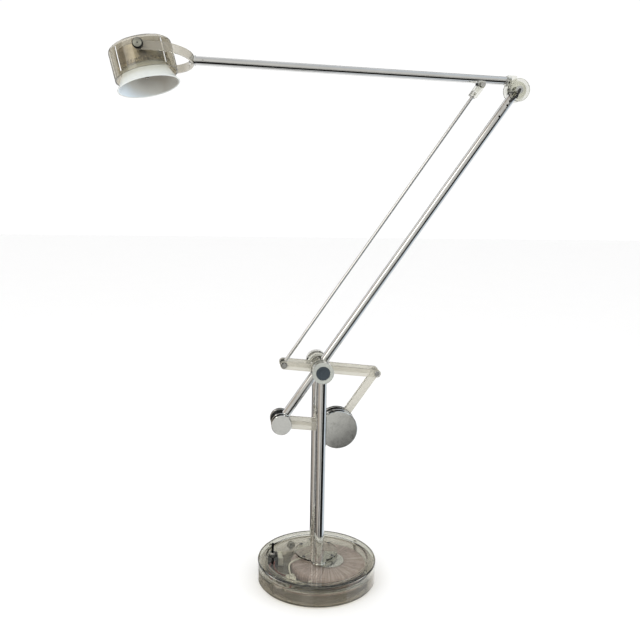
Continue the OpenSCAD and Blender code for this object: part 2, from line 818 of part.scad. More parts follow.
// ---- tie rod ----
module tie_rod() {
    color("silver") arm_frame(rod_p) difference() {
        union() {
            xrod(rod_r, eye_r - 2, arm_len - prong_reach - 2);
            yrod(eye_r, -rod_eye_half, rod_eye_half);
        }
        yrod(pin_r + run_fit, -rod_eye_half - 1, rod_eye_half + 1);
    }
}

module rod_clevis() {
    root_x = arm_len - clevis_len;
    color([0.78, 0.8, 0.72, 0.6]) arm_frame(rod_p) difference() {
        union() {
            for (s = [-1, 1])
                translate([0, s > 0 ? prong_out : -prong_in, 0]) rotate([90, 0, 0]) linear_extrude(prong_t) {
                    translate([root_x, -prong_r]) square([clevis_len, 2 * prong_r]);
                    translate([arm_len, 0]) circle(r = prong_r);
                }
            translate([root_x, -prong_out, -prong_r])
                cube([clevis_len - prong_reach, 2 * prong_out, 2 * prong_r]);
        }
        xrod(rod_r + seat_fit, root_x - 1, arm_len - prong_reach - 1);
        translate([arm_len, 0, 0]) yrod(saddle_pin_r + open_fit, -prong_out - 1, prong_out + 1);
    }
}

// ---- balance link ----
module balance_link() {
    color([0.8, 0.8, 0.72, 0.6]) arm_frame(link_p) difference() {
        flat_bar(-tail_len, 0, link_w, -link_half, link_half);
        yrod(pin_r + run_fit, -link_half - 1, link_half + 1);
        translate([-tail_len, 0, 0]) yrod(weight_pin_r + open_fit, -link_half - 1, link_half + 1);
    }
}

// ---- lower bars and counterweight ----
module lower_plates() {
    color([0.8, 0.8, 0.72, 0.6]) lever_frame(tail_p) for (y0 = [-plate_out, plate_in]) difference() {
        union() {
            flat_bar(0, lever_back, bar_h, y0, y0 + bar_t);
            for (x = [0, lever_back]) translate([x, 0, 0]) yrod(bar_eye_r, y0, y0 + bar_t);
        }
        yrod(tail_pin_r + run_fit, y0 - 1, y0 + bar_t + 1);
        translate([lever_back, 0, 0]) yrod(weight_pin_r + seat_fit, y0 - 1, y0 + bar_t + 1);
    }
}

module weight_disc(y0, y1) {
    translate([lever_back, 0, 0]) difference() {
        soft_disc(weight_r, y0, y1, weight_round);
        yrod(weight_pin_r + seat_fit, y0 + (y0 < -plate_in ? 4 : -1), y1 + 1);
    }
}

module weight_front_disc() {
    color("lightgray") lever_frame(tail_p) weight_disc(-plate_out - weight_front_t, -plate_out);
}

module weight_rear_discs() {
    color("darkgray") lever_frame(tail_p) {
        weight_disc(-plate_in, -link_half - gap);
        weight_disc(link_half + gap, plate_in);
    }
}

module weight_axle() {
    color("silver") lever_frame(tail_p) translate([lever_back, 0, 0]) {
        yrod(weight_pin_r, -plate_out - weight_front_t + 4, plate_out + 2);
        yrod(7, plate_out, plate_out + 4, $fn = 6);
    }
}

// ---- forearm ----
module forearm_tube() {
    color("gainsboro") forearm_frame() translate([0, 0, fore_lift]) difference() {
        xtube(fore_r, tube_wall, fore_end_x, fore_start_x);
        for (x = fore_screw_x) translate([x, 0, 0]) yrod(small_hole_r + seat_fit, -fore_r - 1, 0);
    }
}

module forearm_plugs() {
    r = fore_r - tube_wall - seat_fit;
    color("silver") forearm_frame() translate([0, 0, fore_lift]) difference() {
        union() {
            xrod(r, fore_end_x, fore_screw_x[0] + fore_plug_l / 2);
            xrod(r, fore_screw_x[1] - fore_plug_l / 2, fore_start_x - 1);
        }
        for (x = fore_screw_x) translate([x, 0, 0]) yrod(small_hole_r + seat_fit, -fore_r - 1, 0);
    }
}

module forearm_screws() {
    color("silver") forearm_frame() translate([0, 0, fore_lift]) for (x = fore_screw_x)
        translate([x, 0, 0]) difference() {
            yrod(small_hole_r, -fore_r + 0.3, 0);
            yrod(1.1, -fore_r, -fore_r + 2.5, $fn = 6);
        }
}

// Ring-shaped groove in a cheek's outer face, from y0
module cheek_groove(y0) {
    difference() {
        yrod(groove_r + groove_w, y0, y0 + 1 + groove_depth);
        yrod(groove_r, y0 - 1, y0 + 3 + groove_depth);
    }
}

module elbow_cheeks() {
    color([0.78, 0.8, 0.72, 0.5]) forearm_frame() for (y0 = [-cheek_out, cheek_in]) difference() {
        soft_disc(elbow_d / 2, y0, y0 + cheek_t, 0.8);
        yrod(elbow_pin_r + run_fit, y0 - 1, y0 + cheek_t + 1);
        cheek_groove(y0 < 0 ? y0 - 1 : y0 + cheek_t - groove_depth);
    }
}

module forearm_block() {
    color([0.78, 0.8, 0.72, 0.6]) forearm_frame() difference() {
        translate([block_x0, -block_half, fore_lift - fore_r - 1.5])
            cube([block_x1 - block_x0, 2 * block_half, 2 * fore_r + 3]);
        yrod(knuckle_r + gap, -cheek_out, cheek_out);
        translate([0, 0, fore_lift]) xrod(fore_r + seat_fit, block_x0 - 1, fore_start_x + 0.5);
    }
}

module rod_saddle() {
    color("lightgray") forearm_frame() difference() {
        union() {
            translate([anchor_x, 0, anchor_z]) yrod(saddle_len / 2 - 1, -saddle_half, saddle_half);
            translate([anchor_x - saddle_len / 2, -saddle_half, anchor_z])
                cube([saddle_len, 2 * saddle_half, fore_lift - anchor_z - fore_r + 4]);
        }
        translate([0, 0, fore_lift]) xrod(fore_r + seat_fit, anchor_x - saddle_len, anchor_x + saddle_len);
        translate([anchor_x, 0, anchor_z]) yrod(saddle_pin_r + seat_fit, -saddle_half - 1, saddle_half + 1);
    }
}

module saddle_pin() {
    y1 = prong_out + gap + 2;
    color("silver") forearm_frame() translate([anchor_x, 0, anchor_z]) {
        yrod(saddle_pin_r, -y1 + 0.5, y1 - 0.5);
        yrod(saddle_pin_r + 2, -y1, -prong_out - gap);
        yrod(saddle_pin_r + 2, prong_out + gap, y1);
    }
}

// ---- yoke ----
module yoke_outline(r) {
    translate([yoke_reach, 0]) circle(r = r);
    translate([-yoke_h / 2, -r]) square([yoke_reach + yoke_h / 2, 2 * r]);
}

module yoke() {
    base_x = yoke_reach + yoke_out;
    color([0.85, 0.87, 0.84, 0.6]) yoke_frame() difference() {
        intersection() {
            translate([0, 0, -yoke_h / 2]) linear_extrude(yoke_h) difference() {
                yoke_outline(yoke_out);
                yoke_outline(yoke_in);
                translate([-yoke_h, -yoke_in]) square([yoke_h, 2 * yoke_in]);
            }
            flat_bar(0, base_x + yoke_h, yoke_h, -yoke_out - 1, yoke_out + 1);
        }
        yrod(knob_shank_r + seat_fit, -yoke_out - 2, yoke_out + 2);
        xrod(bolt_r + run_fit, base_x - 2 * yoke_t, base_x + 5);
    }
}

module swivel_bolt() {
    color("lightgray") forearm_frame() translate([0, 0, fore_lift]) {
        xrod(bolt_head_r, bolt_head_x - bolt_head_t, bolt_head_x);
        xrod(bolt_r, bolt_head_x - 1, fore_end_x);
        xrod(collar_r, yoke_face_x + gap, fore_end_x);
    }
}

module yoke_knobs() {
    color([0.3, 0.31, 0.31]) yoke_frame() for (s = [-1, 1]) rotate([0, 0, s > 0 ? 0 : 180]) {
        soft_disc(knob_r, yoke_out, yoke_out + knob_t, 1.5);
        yrod(knob_shank_r, head_r - 2, yoke_out + 1);
    }
}

// ---- head ----
module head_casing() {
    w = casing_wall;
    c = casing_round;
    color([0.7, 0.7, 0.62, 0.6]) head_frame() difference() {
        union() {
            rotate_extrude() polygon([
                [head_r - w, head_bottom], [head_r, head_bottom], [head_r, head_top - c],
                [head_r - c * 0.08, head_top - c * 0.6], [head_r - c * 0.3, head_top - c * 0.3],
                [head_r - c * 0.6, head_top - c * 0.08], [head_r - c, head_top], [0, head_top],
                [0, head_top - w], [head_r - c, head_top - w], [head_r - w, head_top - c]
            ]);
            for (s = [-1, 1]) rotate([0, 0, s > 0 ? 0 : 180]) yrod(pivot_boss_r, head_r - w, yoke_in - gap);
        }
        for (s = [-1, 1]) rotate([0, 0, s > 0 ? 0 : 180]) yrod(knob_shank_r + run_fit, head_r - 8, yoke_in + 1);
        for (a = slit_angles) rotate([0, 0, a]) translate([-slit_w / 2, -head_r - 2, slit_low])
            cube([slit_w, 3 * w, slit_high - slit_low]);
    }
}

// Points of a toothed circle
function teeth(r, depth, n) = [for (i = [0 : 4 * n - 1])
    let (a = 90 * i / n, rr = (i % 4 < 2) ? r : r - depth) [rr * cos(a), rr * sin(a)]];

module head_can() {
    color("silver") head_frame() {
        rotate_extrude() polygon([
            [can_r - 1.5, can_low], [can_r, can_low], [can_r, can_high - 4], [can_r - 4, can_high],
            [holder_r + seat_fit, can_high], [holder_r + seat_fit, can_high - 1.5],
            [can_r - 4.6, can_high - 1.5], [can_r - 1.5, can_high - 4.6]
        ]);
        translate([0, 0, can_low - fin_h]) linear_extrude(fin_h) difference() {
            polygon(teeth(can_r + 2, fin_depth, fin_count));
            circle(r = shade_neck_d / 2 + 2);
        }
        translate([0, 0, can_low - 0.5]) linear_extrude(2) difference() {
            circle(r = can_r);
            circle(r = shade_neck_d / 2 - shade_t);
        }
    }
}

// Outer half-outline of the bell-shaped shade, from the rim up to the neck
shade_steps = 12;
function shade_r(t) = shade_neck_d / 2 + (shade_d - shade_neck_d) / 2 * pow(1 - t, 1.35);
shade_outer = [for (i = [0 : shade_steps])
    [shade_r(i / shade_steps), shade_low + shade_h * i / shade_steps]];
shade_inner = [for (i = [shade_steps : -1 : 0])
    [shade_r(i / shade_steps) - shade_t, shade_low + shade_h * i / shade_steps]];

module shade() {
    color([0.93, 0.96, 0.98]) head_frame() rotate_extrude() polygon(concat(shade_outer, shade_inner));
}

module lamp_holder() {
    color("white") head_frame() difference() {
        translate([0, 0, shade_high - 6]) cylinder(r = holder_r, h = head_top - casing_wall - shade_high + 6 - 0.1);
        translate([0, 0, shade_high - 8]) cylinder(r = bulb_r * 0.6 + seat_fit, h = 12);
    }
}

module bulb() {
    color([0.95, 0.97, 1, 0.5]) head_frame() rotate_extrude() polygon([
        [0, bulb_low], [bulb_r * 0.6, bulb_low + 1], [bulb_r, bulb_low + 4], [bulb_r, shade_high - 10],
        [bulb_r * 0.6, shade_high - 8], [bulb_r * 0.6, shade_high], [0, shade_high]
    ]);
}

base_pad();
base_tray();
base_cover();
base_screws();
toroid_winding();
toroid_clamp();
terminal_block();
terminal_screws();
switch_body();
switch_bushing();
switch_lever();
fuse_holder();
cord_inlet();
mains_leads();
lamp_leads();
column_plate();
column_screws();
posts();
post_bolts();
hub_housings();
hub_cap_ring();
hub_cap_disc();
hub_rear_cap();
hub_axle();
hub_spacers();
main_tube();
arm_hub_drum();
tail_drum();
tail_pin();
tail_caps();
tail_washers();
elbow_knuckle();
elbow_pin();
elbow_lead();
lever_plates();
lever_pins();
lever_spacers();
tie_rod();
rod_clevis();
balance_link();
lower_plates();
weight_front_disc();
weight_rear_discs();
weight_axle();
forearm_tube();
forearm_plugs();
forearm_screws();
elbow_cheeks();
forearm_block();
rod_saddle();
saddle_pin();
swivel_bolt();
yoke();
yoke_knobs();
head_casing();
head_can();
shade();
lamp_holder();
bulb();
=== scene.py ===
"""Looks of the balanced-arm floor lamp: finishes, fine pieces, light and camera round the CAD frame."""

import json
import logging
import math
from dataclasses import dataclass, field
from enum import Enum
from typing import Callable, Iterable, Optional, Sequence

import bmesh
import bpy
from mathutils import Matrix, Vector

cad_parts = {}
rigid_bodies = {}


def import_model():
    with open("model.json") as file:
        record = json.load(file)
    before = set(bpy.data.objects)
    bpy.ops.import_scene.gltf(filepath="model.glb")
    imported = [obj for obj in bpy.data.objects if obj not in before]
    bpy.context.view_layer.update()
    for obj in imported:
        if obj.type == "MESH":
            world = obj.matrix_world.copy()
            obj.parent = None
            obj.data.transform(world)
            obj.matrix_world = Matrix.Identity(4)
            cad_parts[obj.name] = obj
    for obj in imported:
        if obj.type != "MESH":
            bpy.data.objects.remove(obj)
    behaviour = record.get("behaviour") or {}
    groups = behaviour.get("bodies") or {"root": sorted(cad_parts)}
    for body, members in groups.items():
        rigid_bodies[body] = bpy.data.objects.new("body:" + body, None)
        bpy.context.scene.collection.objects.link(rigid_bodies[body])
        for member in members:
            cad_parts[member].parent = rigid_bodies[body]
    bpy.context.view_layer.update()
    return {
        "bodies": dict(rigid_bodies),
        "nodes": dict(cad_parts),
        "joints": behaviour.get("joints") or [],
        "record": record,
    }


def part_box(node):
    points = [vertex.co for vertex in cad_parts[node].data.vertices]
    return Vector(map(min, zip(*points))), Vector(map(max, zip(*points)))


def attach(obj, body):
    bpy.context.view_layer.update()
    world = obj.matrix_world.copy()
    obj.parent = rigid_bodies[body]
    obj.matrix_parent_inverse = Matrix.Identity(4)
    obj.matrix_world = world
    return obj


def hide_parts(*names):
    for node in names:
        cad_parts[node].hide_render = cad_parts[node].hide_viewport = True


log = logging.getLogger("lamp")

MM = 0.001  # one millimetre, in the frame's metres
SHARP_EDGE = math.radians(35)  # faces that meet at more than this keep a crisp edge
TAPE_TURNS = 132  # turns of tape round the transformer's core


class Slot(Enum):
    """The record's material slots."""

    RUBBER = "rubber"
    SMOKED = "smoked_plastic"
    CLEAR = "clear_plastic"
    TINTED = "tinted_plastic"
    STEEL = "steel"
    POLISHED = "polished_metal"
    CHROME = "chrome"
    WEIGHT = "weight_steel"
    DARK = "dark_metal"
    ALUMINIUM = "aluminium"
    BRASS = "brass"
    BLACK = "black_plastic"
    WHITE = "white_plastic"
    WINDING = "winding_tape"
    BROWN_WIRE = "brown_insulation"
    PALE_WIRE = "pale_insulation"
    BLACK_WIRE = "black_insulation"
    FROSTED = "frosted_glass"
    BULB = "bulb_glass"


class Edge(Enum):
    """How a piece's faces are shaded."""

    SMOOTH = "smooth"
    BY_ANGLE = "by_angle"


# ---------------------------------------------------------------------------
# Finishes
# ---------------------------------------------------------------------------

Colour = tuple[float, float, float]


def rgba(colour: Colour) -> tuple[float, float, float, float]:
    """The colour with full opacity."""
    return (*colour, 1.0)


def plan_centre(node: str) -> tuple[float, float]:
    """Middle of a CAD node's box, seen from above."""
    low, high = (Vector(corner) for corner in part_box(node))
    return tuple(((low + high) / 2).xy)


class Sheet:
    """One material's node tree while it is being filled in."""

    def __init__(self, name: str) -> None:
        """Start an empty tree that holds one Principled shader and one output."""
        self.material = bpy.data.materials.new(name)
        self.material.use_nodes = True
        self.tree = self.material.node_tree
        self.tree.nodes.clear()
        self.output = self.tree.nodes.new("ShaderNodeOutputMaterial")
        self.shader = self.tree.nodes.new("ShaderNodeBsdfPrincipled")
        self.link(self.shader.outputs[0], self.output.inputs["Surface"])
        self._place = self.tree.nodes.new("ShaderNodeTexCoord").outputs["Object"]

    def link(self, source: bpy.types.NodeSocket, target: bpy.types.NodeSocket) -> None:
        """Join two sockets."""
        self.tree.links.new(source, target)

    def set(self, **values: object) -> None:
        """Set the shader's own sockets, named with underscores for spaces."""
        for name, value in values.items():
            self.shader.inputs[name.replace("_", " ").title().replace("Ior", "IOR")].default_value = value

    def place(self, scale: Sequence[float] = (1, 1, 1), turn: Sequence[float] = (0, 0, 0),
              shift: Sequence[float] = (0, 0, 0)) -> bpy.types.NodeSocket:
        """Coordinates on the piece.

        Args:
            scale: stretch along each axis.
            turn: rotation in radians about each axis.
            shift: move, in metres.

        Returns:
            The mapped coordinate socket.
        """
        node = self.tree.nodes.new("ShaderNodeMapping")
        node.inputs["Scale"].default_value = scale
        node.inputs["Rotation"].default_value = turn
        node.inputs["Location"].default_value = shift
        self.link(self._place, node.inputs["Vector"])
        return node.outputs[0]

    def noise(self, scale: float, detail: float = 3.0, rough: float = 0.5,
              place: Optional[bpy.types.NodeSocket] = None) -> bpy.types.NodeSocket:
        """Soft random pattern.

        Args:
            scale: cells per metre.
            detail: octaves of finer pattern.
            rough: strength of the finer octaves.
            place: coordinates, or None for the piece's own.

        Returns:
            The pattern's value socket.
        """
        node = self.tree.nodes.new("ShaderNodeTexNoise")
        node.inputs["Scale"].default_value = scale
        node.inputs["Detail"].default_value = detail
        node.inputs["Roughness"].default_value = rough
        self.link(place or self._place, node.inputs["Vector"])
        return node.outputs["Fac"]

    def ramp(self, source: bpy.types.NodeSocket,
             stops: Sequence[tuple[float, Sequence[float]]]) -> bpy.types.NodeSocket:
        """Colours along a value.

        Args:
            source: the value, from 0 to 1.
            stops: positions and their colours.

        Returns:
            The colour socket.
        """
        node = self.tree.nodes.new("ShaderNodeValToRGB")
        bar = node.color_ramp.elements
        while len(bar) < len(stops):
            bar.new(0.5)
        for element, (where, colour) in zip(bar, stops):
            element.position = where
            element.color = (*colour, 1.0)
        self.link(source, node.inputs["Fac"])
        return node.outputs["Color"]

    def spread(self, source: bpy.types.NodeSocket, low: float, high: float,
               low_in: float = 0.3, high_in: float = 0.7) -> bpy.types.NodeSocket:
        """A value stretched from one range to another.

        Args:
            source: the value.
            low: result at low_in.
            high: result at high_in.
            low_in: lowest value read.
            high_in: highest value read.

        Returns:
            The stretched value socket.
        """
        node = self.tree.nodes.new("ShaderNodeMapRange")
        node.inputs["From Min"].default_value = low_in
        node.inputs["From Max"].default_value = high_in
        node.inputs["To Min"].default_value = low
        node.inputs["To Max"].default_value = high
        self.link(source, node.inputs["Value"])
        return node.outputs[0]

    def maths(self, kind: str, a: bpy.types.NodeSocket, b: object = 0.0) -> bpy.types.NodeSocket:
        """One step of arithmetic.

        Args:
            kind: the operation.
            a: first value socket.
            b: second value, a number or a socket.

        Returns:
            The result's socket.
        """
        node = self.tree.nodes.new("ShaderNodeMath")
        node.operation = kind
        self.link(a, node.inputs[0])
        if isinstance(b, bpy.types.NodeSocket):
            self.link(b, node.inputs[1])
        else:
            node.inputs[1].default_value = float(b)
        return node.outputs[0]

    def blend(self, a: bpy.types.NodeSocket, a_share: float, b: bpy.types.NodeSocket,
              b_share: float) -> bpy.types.NodeSocket:
        """Two patterns added by their shares.

        Args:
            a: first pattern.
            a_share: how much of it.
            b: second pattern.
            b_share: how much of it.

        Returns:
            The sum's socket.
        """
        return self.maths("ADD", self.maths("MULTIPLY", a, a_share), self.maths("MULTIPLY", b, b_share))

    def bump(self, height: bpy.types.NodeSocket, strength: float, depth: float) -> None:
        """Raise the surface along a height pattern.

        Args:
            height: the pattern.
            strength: share of the full effect.
            depth: height in metres of the whole range.
        """
        node = self.tree.nodes.new("ShaderNodeBump")
        node.inputs["Strength"].default_value = strength
        node.inputs["Distance"].default_value = depth
        self.link(height, node.inputs["Height"])
        earlier = self.shader.inputs["Normal"]
        if earlier.is_linked:
            self.link(earlier.links[0].from_socket, node.inputs["Normal"])
        self.link(node.outputs[0], earlier)

    def let_lamps_through(self, tint: Colour) -> None:
        """Light from lamps passes the surface, so what is inside is lit.

        Args:
            tint: the colour that the light takes on.
        """
        way = self.tree.nodes.new("ShaderNodeLightPath")
        clear = self.tree.nodes.new("ShaderNodeBsdfTransparent")
        clear.inputs["Color"].default_value = rgba(tint)
        mix = self.tree.nodes.new("ShaderNodeMixShader")
        either = self.maths("MAXIMUM", way.outputs["Is Shadow Ray"], way.outputs["Is Diffuse Ray"])
        self.link(either, mix.inputs[0])
        self.link(self.shader.outputs[0], mix.inputs[1])
        self.link(clear.outputs[0], mix.inputs[2])
        self.link(mix.outputs[0], self.output.inputs["Surface"])


@dataclass(frozen=True)
class Finish:
    """A finish that pieces share. Each kind fills in its own sheet."""

    name: str
    colour: Colour

    def fill(self, sheet: Sheet) -> None:
        """Fill in the sheet. Each kind does this its own way.

        Args:
            sheet: the material's sheet.
        """
        raise NotImplementedError

    def make(self) -> bpy.types.Material:
        """Build the Blender material.

        Returns:
            The material, with its nodes filled in.
        """
        sheet = Sheet(self.name)
        sheet.material.diffuse_color = rgba(self.colour)
        self.fill(sheet)
        return sheet.material


@dataclass(frozen=True)
class ClearPlastic(Finish):
    """Cast clear plastic with a tint, faint haze, hairline scratches and flow ripples."""

    haze: float = 0.04
    ripple: float = 0.25
    body: float = 0.0
    lamp_tint: Colour = (0.9, 0.9, 0.87)
    bend: float = 1.47
    cloud_scale: float = 26.0
    wave_scale: float = 45.0
    rub_scale: float = 90.0
    rub_stretch: tuple[float, float, float] = (1.0, 6.0, 2.0)
    rub_turn: tuple[float, float, float] = (0.3, 0.5, 0.2)

    def fill(self, sheet: Sheet) -> None:
        """Fill in the clear plastic.

        Args:
            sheet: the material's sheet.
        """
        cloud = sheet.noise(self.cloud_scale)
        dark = tuple(c * 0.93 for c in self.colour)
        sheet.link(sheet.ramp(cloud, [(0.3, dark), (0.7, self.colour)]), sheet.shader.inputs["Base Color"])
        rubs = sheet.noise(self.rub_scale, 6.0, 0.65, sheet.place(self.rub_stretch, self.rub_turn))
        worn = sheet.spread(rubs, self.haze, self.haze + 0.09, 0.5, 0.8)
        sheet.link(worn, sheet.shader.inputs["Roughness"])
        sheet.set(transmission_weight=1.0 - self.body, ior=self.bend)
        sheet.bump(sheet.noise(self.wave_scale, 1.5), self.ripple, 0.12 * MM)
        sheet.bump(rubs, 0.12, 0.06 * MM)
        sheet.let_lamps_through(self.lamp_tint)


@dataclass(frozen=True)
class BrightChrome(Finish):
    """Bright plating with fine polishing lines, light pitting and smudges."""

    rough: float = 0.06
    lines: tuple[float, float, float] = (1.0, 1.0, 0.25)
    smudge_scale: float = 38.0
    polish_scale: float = 60.0
    wave_scale: float = 25.0

    def fill(self, sheet: Sheet) -> None:
        """Fill in the plating.

        Args:
            sheet: the material's sheet.
        """
        smudge = sheet.noise(self.smudge_scale, 4.0, 0.6)
        dull = tuple(c * 0.9 for c in self.colour)
        sheet.link(sheet.ramp(smudge, [(0.35, dull), (0.7, self.colour)]), sheet.shader.inputs["Base Color"])
        polish = sheet.noise(self.polish_scale, 3.0, 0.6, sheet.place(self.lines))
        both = sheet.blend(smudge, 0.6, polish, 0.4)
        sheet.link(sheet.spread(both, self.rough * 0.6, self.rough * 1.9), sheet.shader.inputs["Roughness"])
        sheet.set(metallic=1.0)
        sheet.bump(sheet.noise(self.wave_scale, 2.0), 0.15, 0.05 * MM)


@dataclass(frozen=True)
class TurnedMetal(Finish):
    """Lathe-turned or satin-rubbed metal: fine rings, dull patches and worn spots."""

    rough: float = 0.28
    ring_scale: float = 900.0
    patch: float = 0.12
    patch_scale: float = 55.0

    def fill(self, sheet: Sheet) -> None:
        """Fill in the turned metal.

        Args:
            sheet: the material's sheet.
        """
        patches = sheet.noise(self.patch_scale, 5.0, 0.62)
        light = tuple(min(1.0, c * 1.08) for c in self.colour)
        dark = tuple(c * (1.0 - 2.0 * self.patch) for c in self.colour)
        sheet.link(sheet.ramp(patches, [(0.28, dark), (0.5, self.colour), (0.78, light)]),
                   sheet.shader.inputs["Base Color"])
        rings = sheet.noise(self.ring_scale, 2.0, 0.5, sheet.place((1.0, 0.05, 1.0)))
        both = sheet.blend(patches, 0.5, rings, 0.5)
        sheet.link(sheet.spread(both, self.rough * 0.75, self.rough * 1.45), sheet.shader.inputs["Roughness"])
        sheet.set(metallic=1.0)
        sheet.bump(rings, 0.12, 0.03 * MM)


@dataclass(frozen=True)
class MouldedPlastic(Finish):
    """Opaque moulded plastic with a fine spark-eroded grain and handling marks."""

    rough: float = 0.42
    grain: float = 0.3
    contrast: float = 0.12
    shine: float = 0.5
    mark_scale: float = 70.0
    grain_scale: float = 2600.0

    def fill(self, sheet: Sheet) -> None:
        """Fill in the moulded plastic.

        Args:
            sheet: the material's sheet.
        """
        marks = sheet.noise(self.mark_scale, 4.0, 0.6)
        low = tuple(c * (1.0 - self.contrast) for c in self.colour)
        high = tuple(min(1.0, c * (1.0 + self.contrast)) for c in self.colour)
        sheet.link(sheet.ramp(marks, [(0.3, low), (0.7, high)]), sheet.shader.inputs["Base Color"])
        sheet.link(sheet.spread(marks, self.rough * 0.8, self.rough * 1.3), sheet.shader.inputs["Roughness"])
        sheet.shader.inputs["Specular IOR Level"].default_value = self.shine
        sheet.bump(sheet.noise(self.grain_scale, 2.0), self.grain, 0.04 * MM)


@dataclass(frozen=True)
class WoundTape(Finish):
    """Glossy tape wound round a ring core, with lighter overlaps and varnish streaks."""

    overlap: Colour = (0.62, 0.52, 0.48)
    centre: tuple[float, float] = (0.0, 0.0)
    turns: int = TAPE_TURNS
    streak_scale: float = 120.0
    patch_scale: float = 22.0
    ray_scale: float = 17.0
    swells: float = 23.0
    swell: float = 0.02

    def fill(self, sheet: Sheet) -> None:
        """Fill in the tape.

        Args:
            sheet: the material's sheet.
        """
        streak = sheet.noise(self.streak_scale, 5.0, 0.65)
        patches = sheet.noise(self.patch_scale, 2.0)
        around = sheet.tree.nodes.new("ShaderNodeSeparateXYZ")
        sheet.link(sheet.place(shift=(-self.centre[0], -self.centre[1], 0.0)), around.inputs[0])
        angle = sheet.maths("ARCTAN2", around.outputs["Y"], around.outputs["X"])
        turns = sheet.maths("FRACT", sheet.maths("MULTIPLY", angle, self.turns / math.tau))
        swells = sheet.maths("SINE", sheet.maths("MULTIPLY", angle, self.swells))
        mottle = sheet.blend(sheet.blend(streak, 0.55, patches, 0.45), 0.35, self.rays(sheet, angle), 0.65)
        mottle = sheet.maths("ADD", mottle, sheet.maths("MULTIPLY", swells, self.swell))
        dark = tuple(c * 0.55 for c in self.colour)
        sheet.link(sheet.ramp(mottle, [(0.36, dark), (0.5, self.colour), (0.62, self.overlap)]),
                   sheet.shader.inputs["Base Color"])
        sheet.link(sheet.spread(streak, 0.22, 0.45), sheet.shader.inputs["Roughness"])
        sheet.set(coat_weight=0.4)
        sheet.bump(turns, 0.5, 0.3 * MM)
        sheet.bump(streak, 0.3, 0.1 * MM)

    def rays(self, sheet: Sheet, angle: bpy.types.NodeSocket) -> bpy.types.NodeSocket:
        """Streaks that run out from the core's middle.

        Args:
            sheet: the material's sheet.
            angle: the angle round the core.

        Returns:
            The streaks' value socket.
        """
        node = sheet.tree.nodes.new("ShaderNodeTexNoise")
        node.noise_dimensions = "1D"
        node.inputs["Scale"].default_value = self.ray_scale
        node.inputs["Detail"].default_value = 6.0
        node.inputs["Roughness"].default_value = 0.75
        sheet.link(angle, node.inputs["W"])
        return node.outputs["Fac"]


@dataclass(frozen=True)
class FrostedGlass(Finish):
    """Opal glass: milky, satin outside, with slow changes in thickness."""

    cloud_scale: float = 30.0
    milk: float = 0.25
    milk_reach: tuple[float, float, float] = (4.0 * MM, 4.0 * MM, 4.5 * MM)

    def fill(self, sheet: Sheet) -> None:
        """Fill in the opal glass.

        Args:
            sheet: the material's sheet.
        """
        cloud = sheet.noise(self.cloud_scale, 4.0, 0.55)
        cool = tuple(c * 0.96 for c in self.colour)
        sheet.link(sheet.ramp(cloud, [(0.3, cool), (0.7, self.colour)]), sheet.shader.inputs["Base Color"])
        sheet.link(sheet.spread(cloud, 0.16, 0.3), sheet.shader.inputs["Roughness"])
        sheet.set(subsurface_weight=self.milk, subsurface_radius=self.milk_reach)
        sheet.set(coat_weight=0.25, coat_roughness=0.12)
        sheet.bump(sheet.noise(500.0, 2.0), 0.1, 0.02 * MM)


@dataclass(frozen=True)
class PaintedShadeGlassInside(Finish):
    """Inside face of the opal bell, with painted light and shade: warm grey painted shade and a painted
    reflection of the can by the neck, cool white painted light by the rim and to one side.
    """

    # middle and deep are painted shade colours; the deepest shade is by the neck.
    middle: Colour = (0.52, 0.52, 0.48)
    deep: Colour = (0.3, 0.28, 0.24)
    turn: tuple[float, float, float] = (0.0, 0.0, 0.0)
    shift: tuple[float, float, float] = (0.0, 0.0, 0.0)
    low: float = -58 * MM
    high: float = -20 * MM
    left: float = -45 * MM
    right: float = 30 * MM

    def fill(self, sheet: Sheet) -> None:
        """Fill in the inside of the glass, with its painted shade and painted light.

        Args:
            sheet: the material's sheet.
        """
        split = sheet.tree.nodes.new("ShaderNodeSeparateXYZ")
        sheet.link(sheet.place(turn=self.turn, shift=self.shift), split.inputs[0])
        # Painted shade: the colour darkens from the rim up towards the neck.
        height = sheet.spread(split.outputs["Z"], 0.0, 1.0, self.low, self.high)
        # Painted light and shade across the bell: lighter towards -X, darker towards +X.
        side = sheet.spread(split.outputs["X"], 0.0, 0.6, self.left, self.right)
        uneven = sheet.maths("MULTIPLY", sheet.noise(35.0), 0.25)
        depth = sheet.maths("ADD", sheet.maths("ADD", sheet.maths("MULTIPLY", height, 0.6), side), uneven)
        # Cool white painted light at low values, warm grey painted shade at high values.
        sheet.link(sheet.ramp(depth, [(0.12, self.colour), (0.55, self.middle), (1.0, self.deep)]),
                   sheet.shader.inputs["Base Color"])
        sheet.set(roughness=0.22, coat_weight=0.2)


@dataclass(frozen=True)
class LampGlass(Finish):
    """Thin clear quartz."""

    bend: float = 1.45
    lamp_tint: Colour = (0.95, 0.95, 0.95)

    def fill(self, sheet: Sheet) -> None:
        """Fill in the quartz.

        Args:
            sheet: the material's sheet.
        """
        smear = sheet.noise(300.0)
        hazy = tuple(c * 0.95 for c in self.colour)
        sheet.link(sheet.ramp(smear, [(0.3, hazy), (0.7, self.colour)]), sheet.shader.inputs["Base Color"])
        sheet.link(sheet.spread(smear, 0.02, 0.1), sheet.shader.inputs["Roughness"])
        sheet.set(transmission_weight=1.0, ior=self.bend)
        sheet.let_lamps_through(self.lamp_tint)


@dataclass(frozen=True)
class StudioPaper(Finish):
    """Plain pale paper for the floor."""

    def fill(self, sheet: Sheet) -> None:
        """Fill in the paper.

        Args:
            sheet: the material's sheet.
        """
        tone = sheet.noise(3.0, 2.0)
        low = tuple(c * 0.995 for c in self.colour)
        sheet.link(sheet.ramp(tone, [(0.3, low), (0.7, self.colour)]), sheet.shader.inputs["Base Color"])
        sheet.set(roughness=0.9)


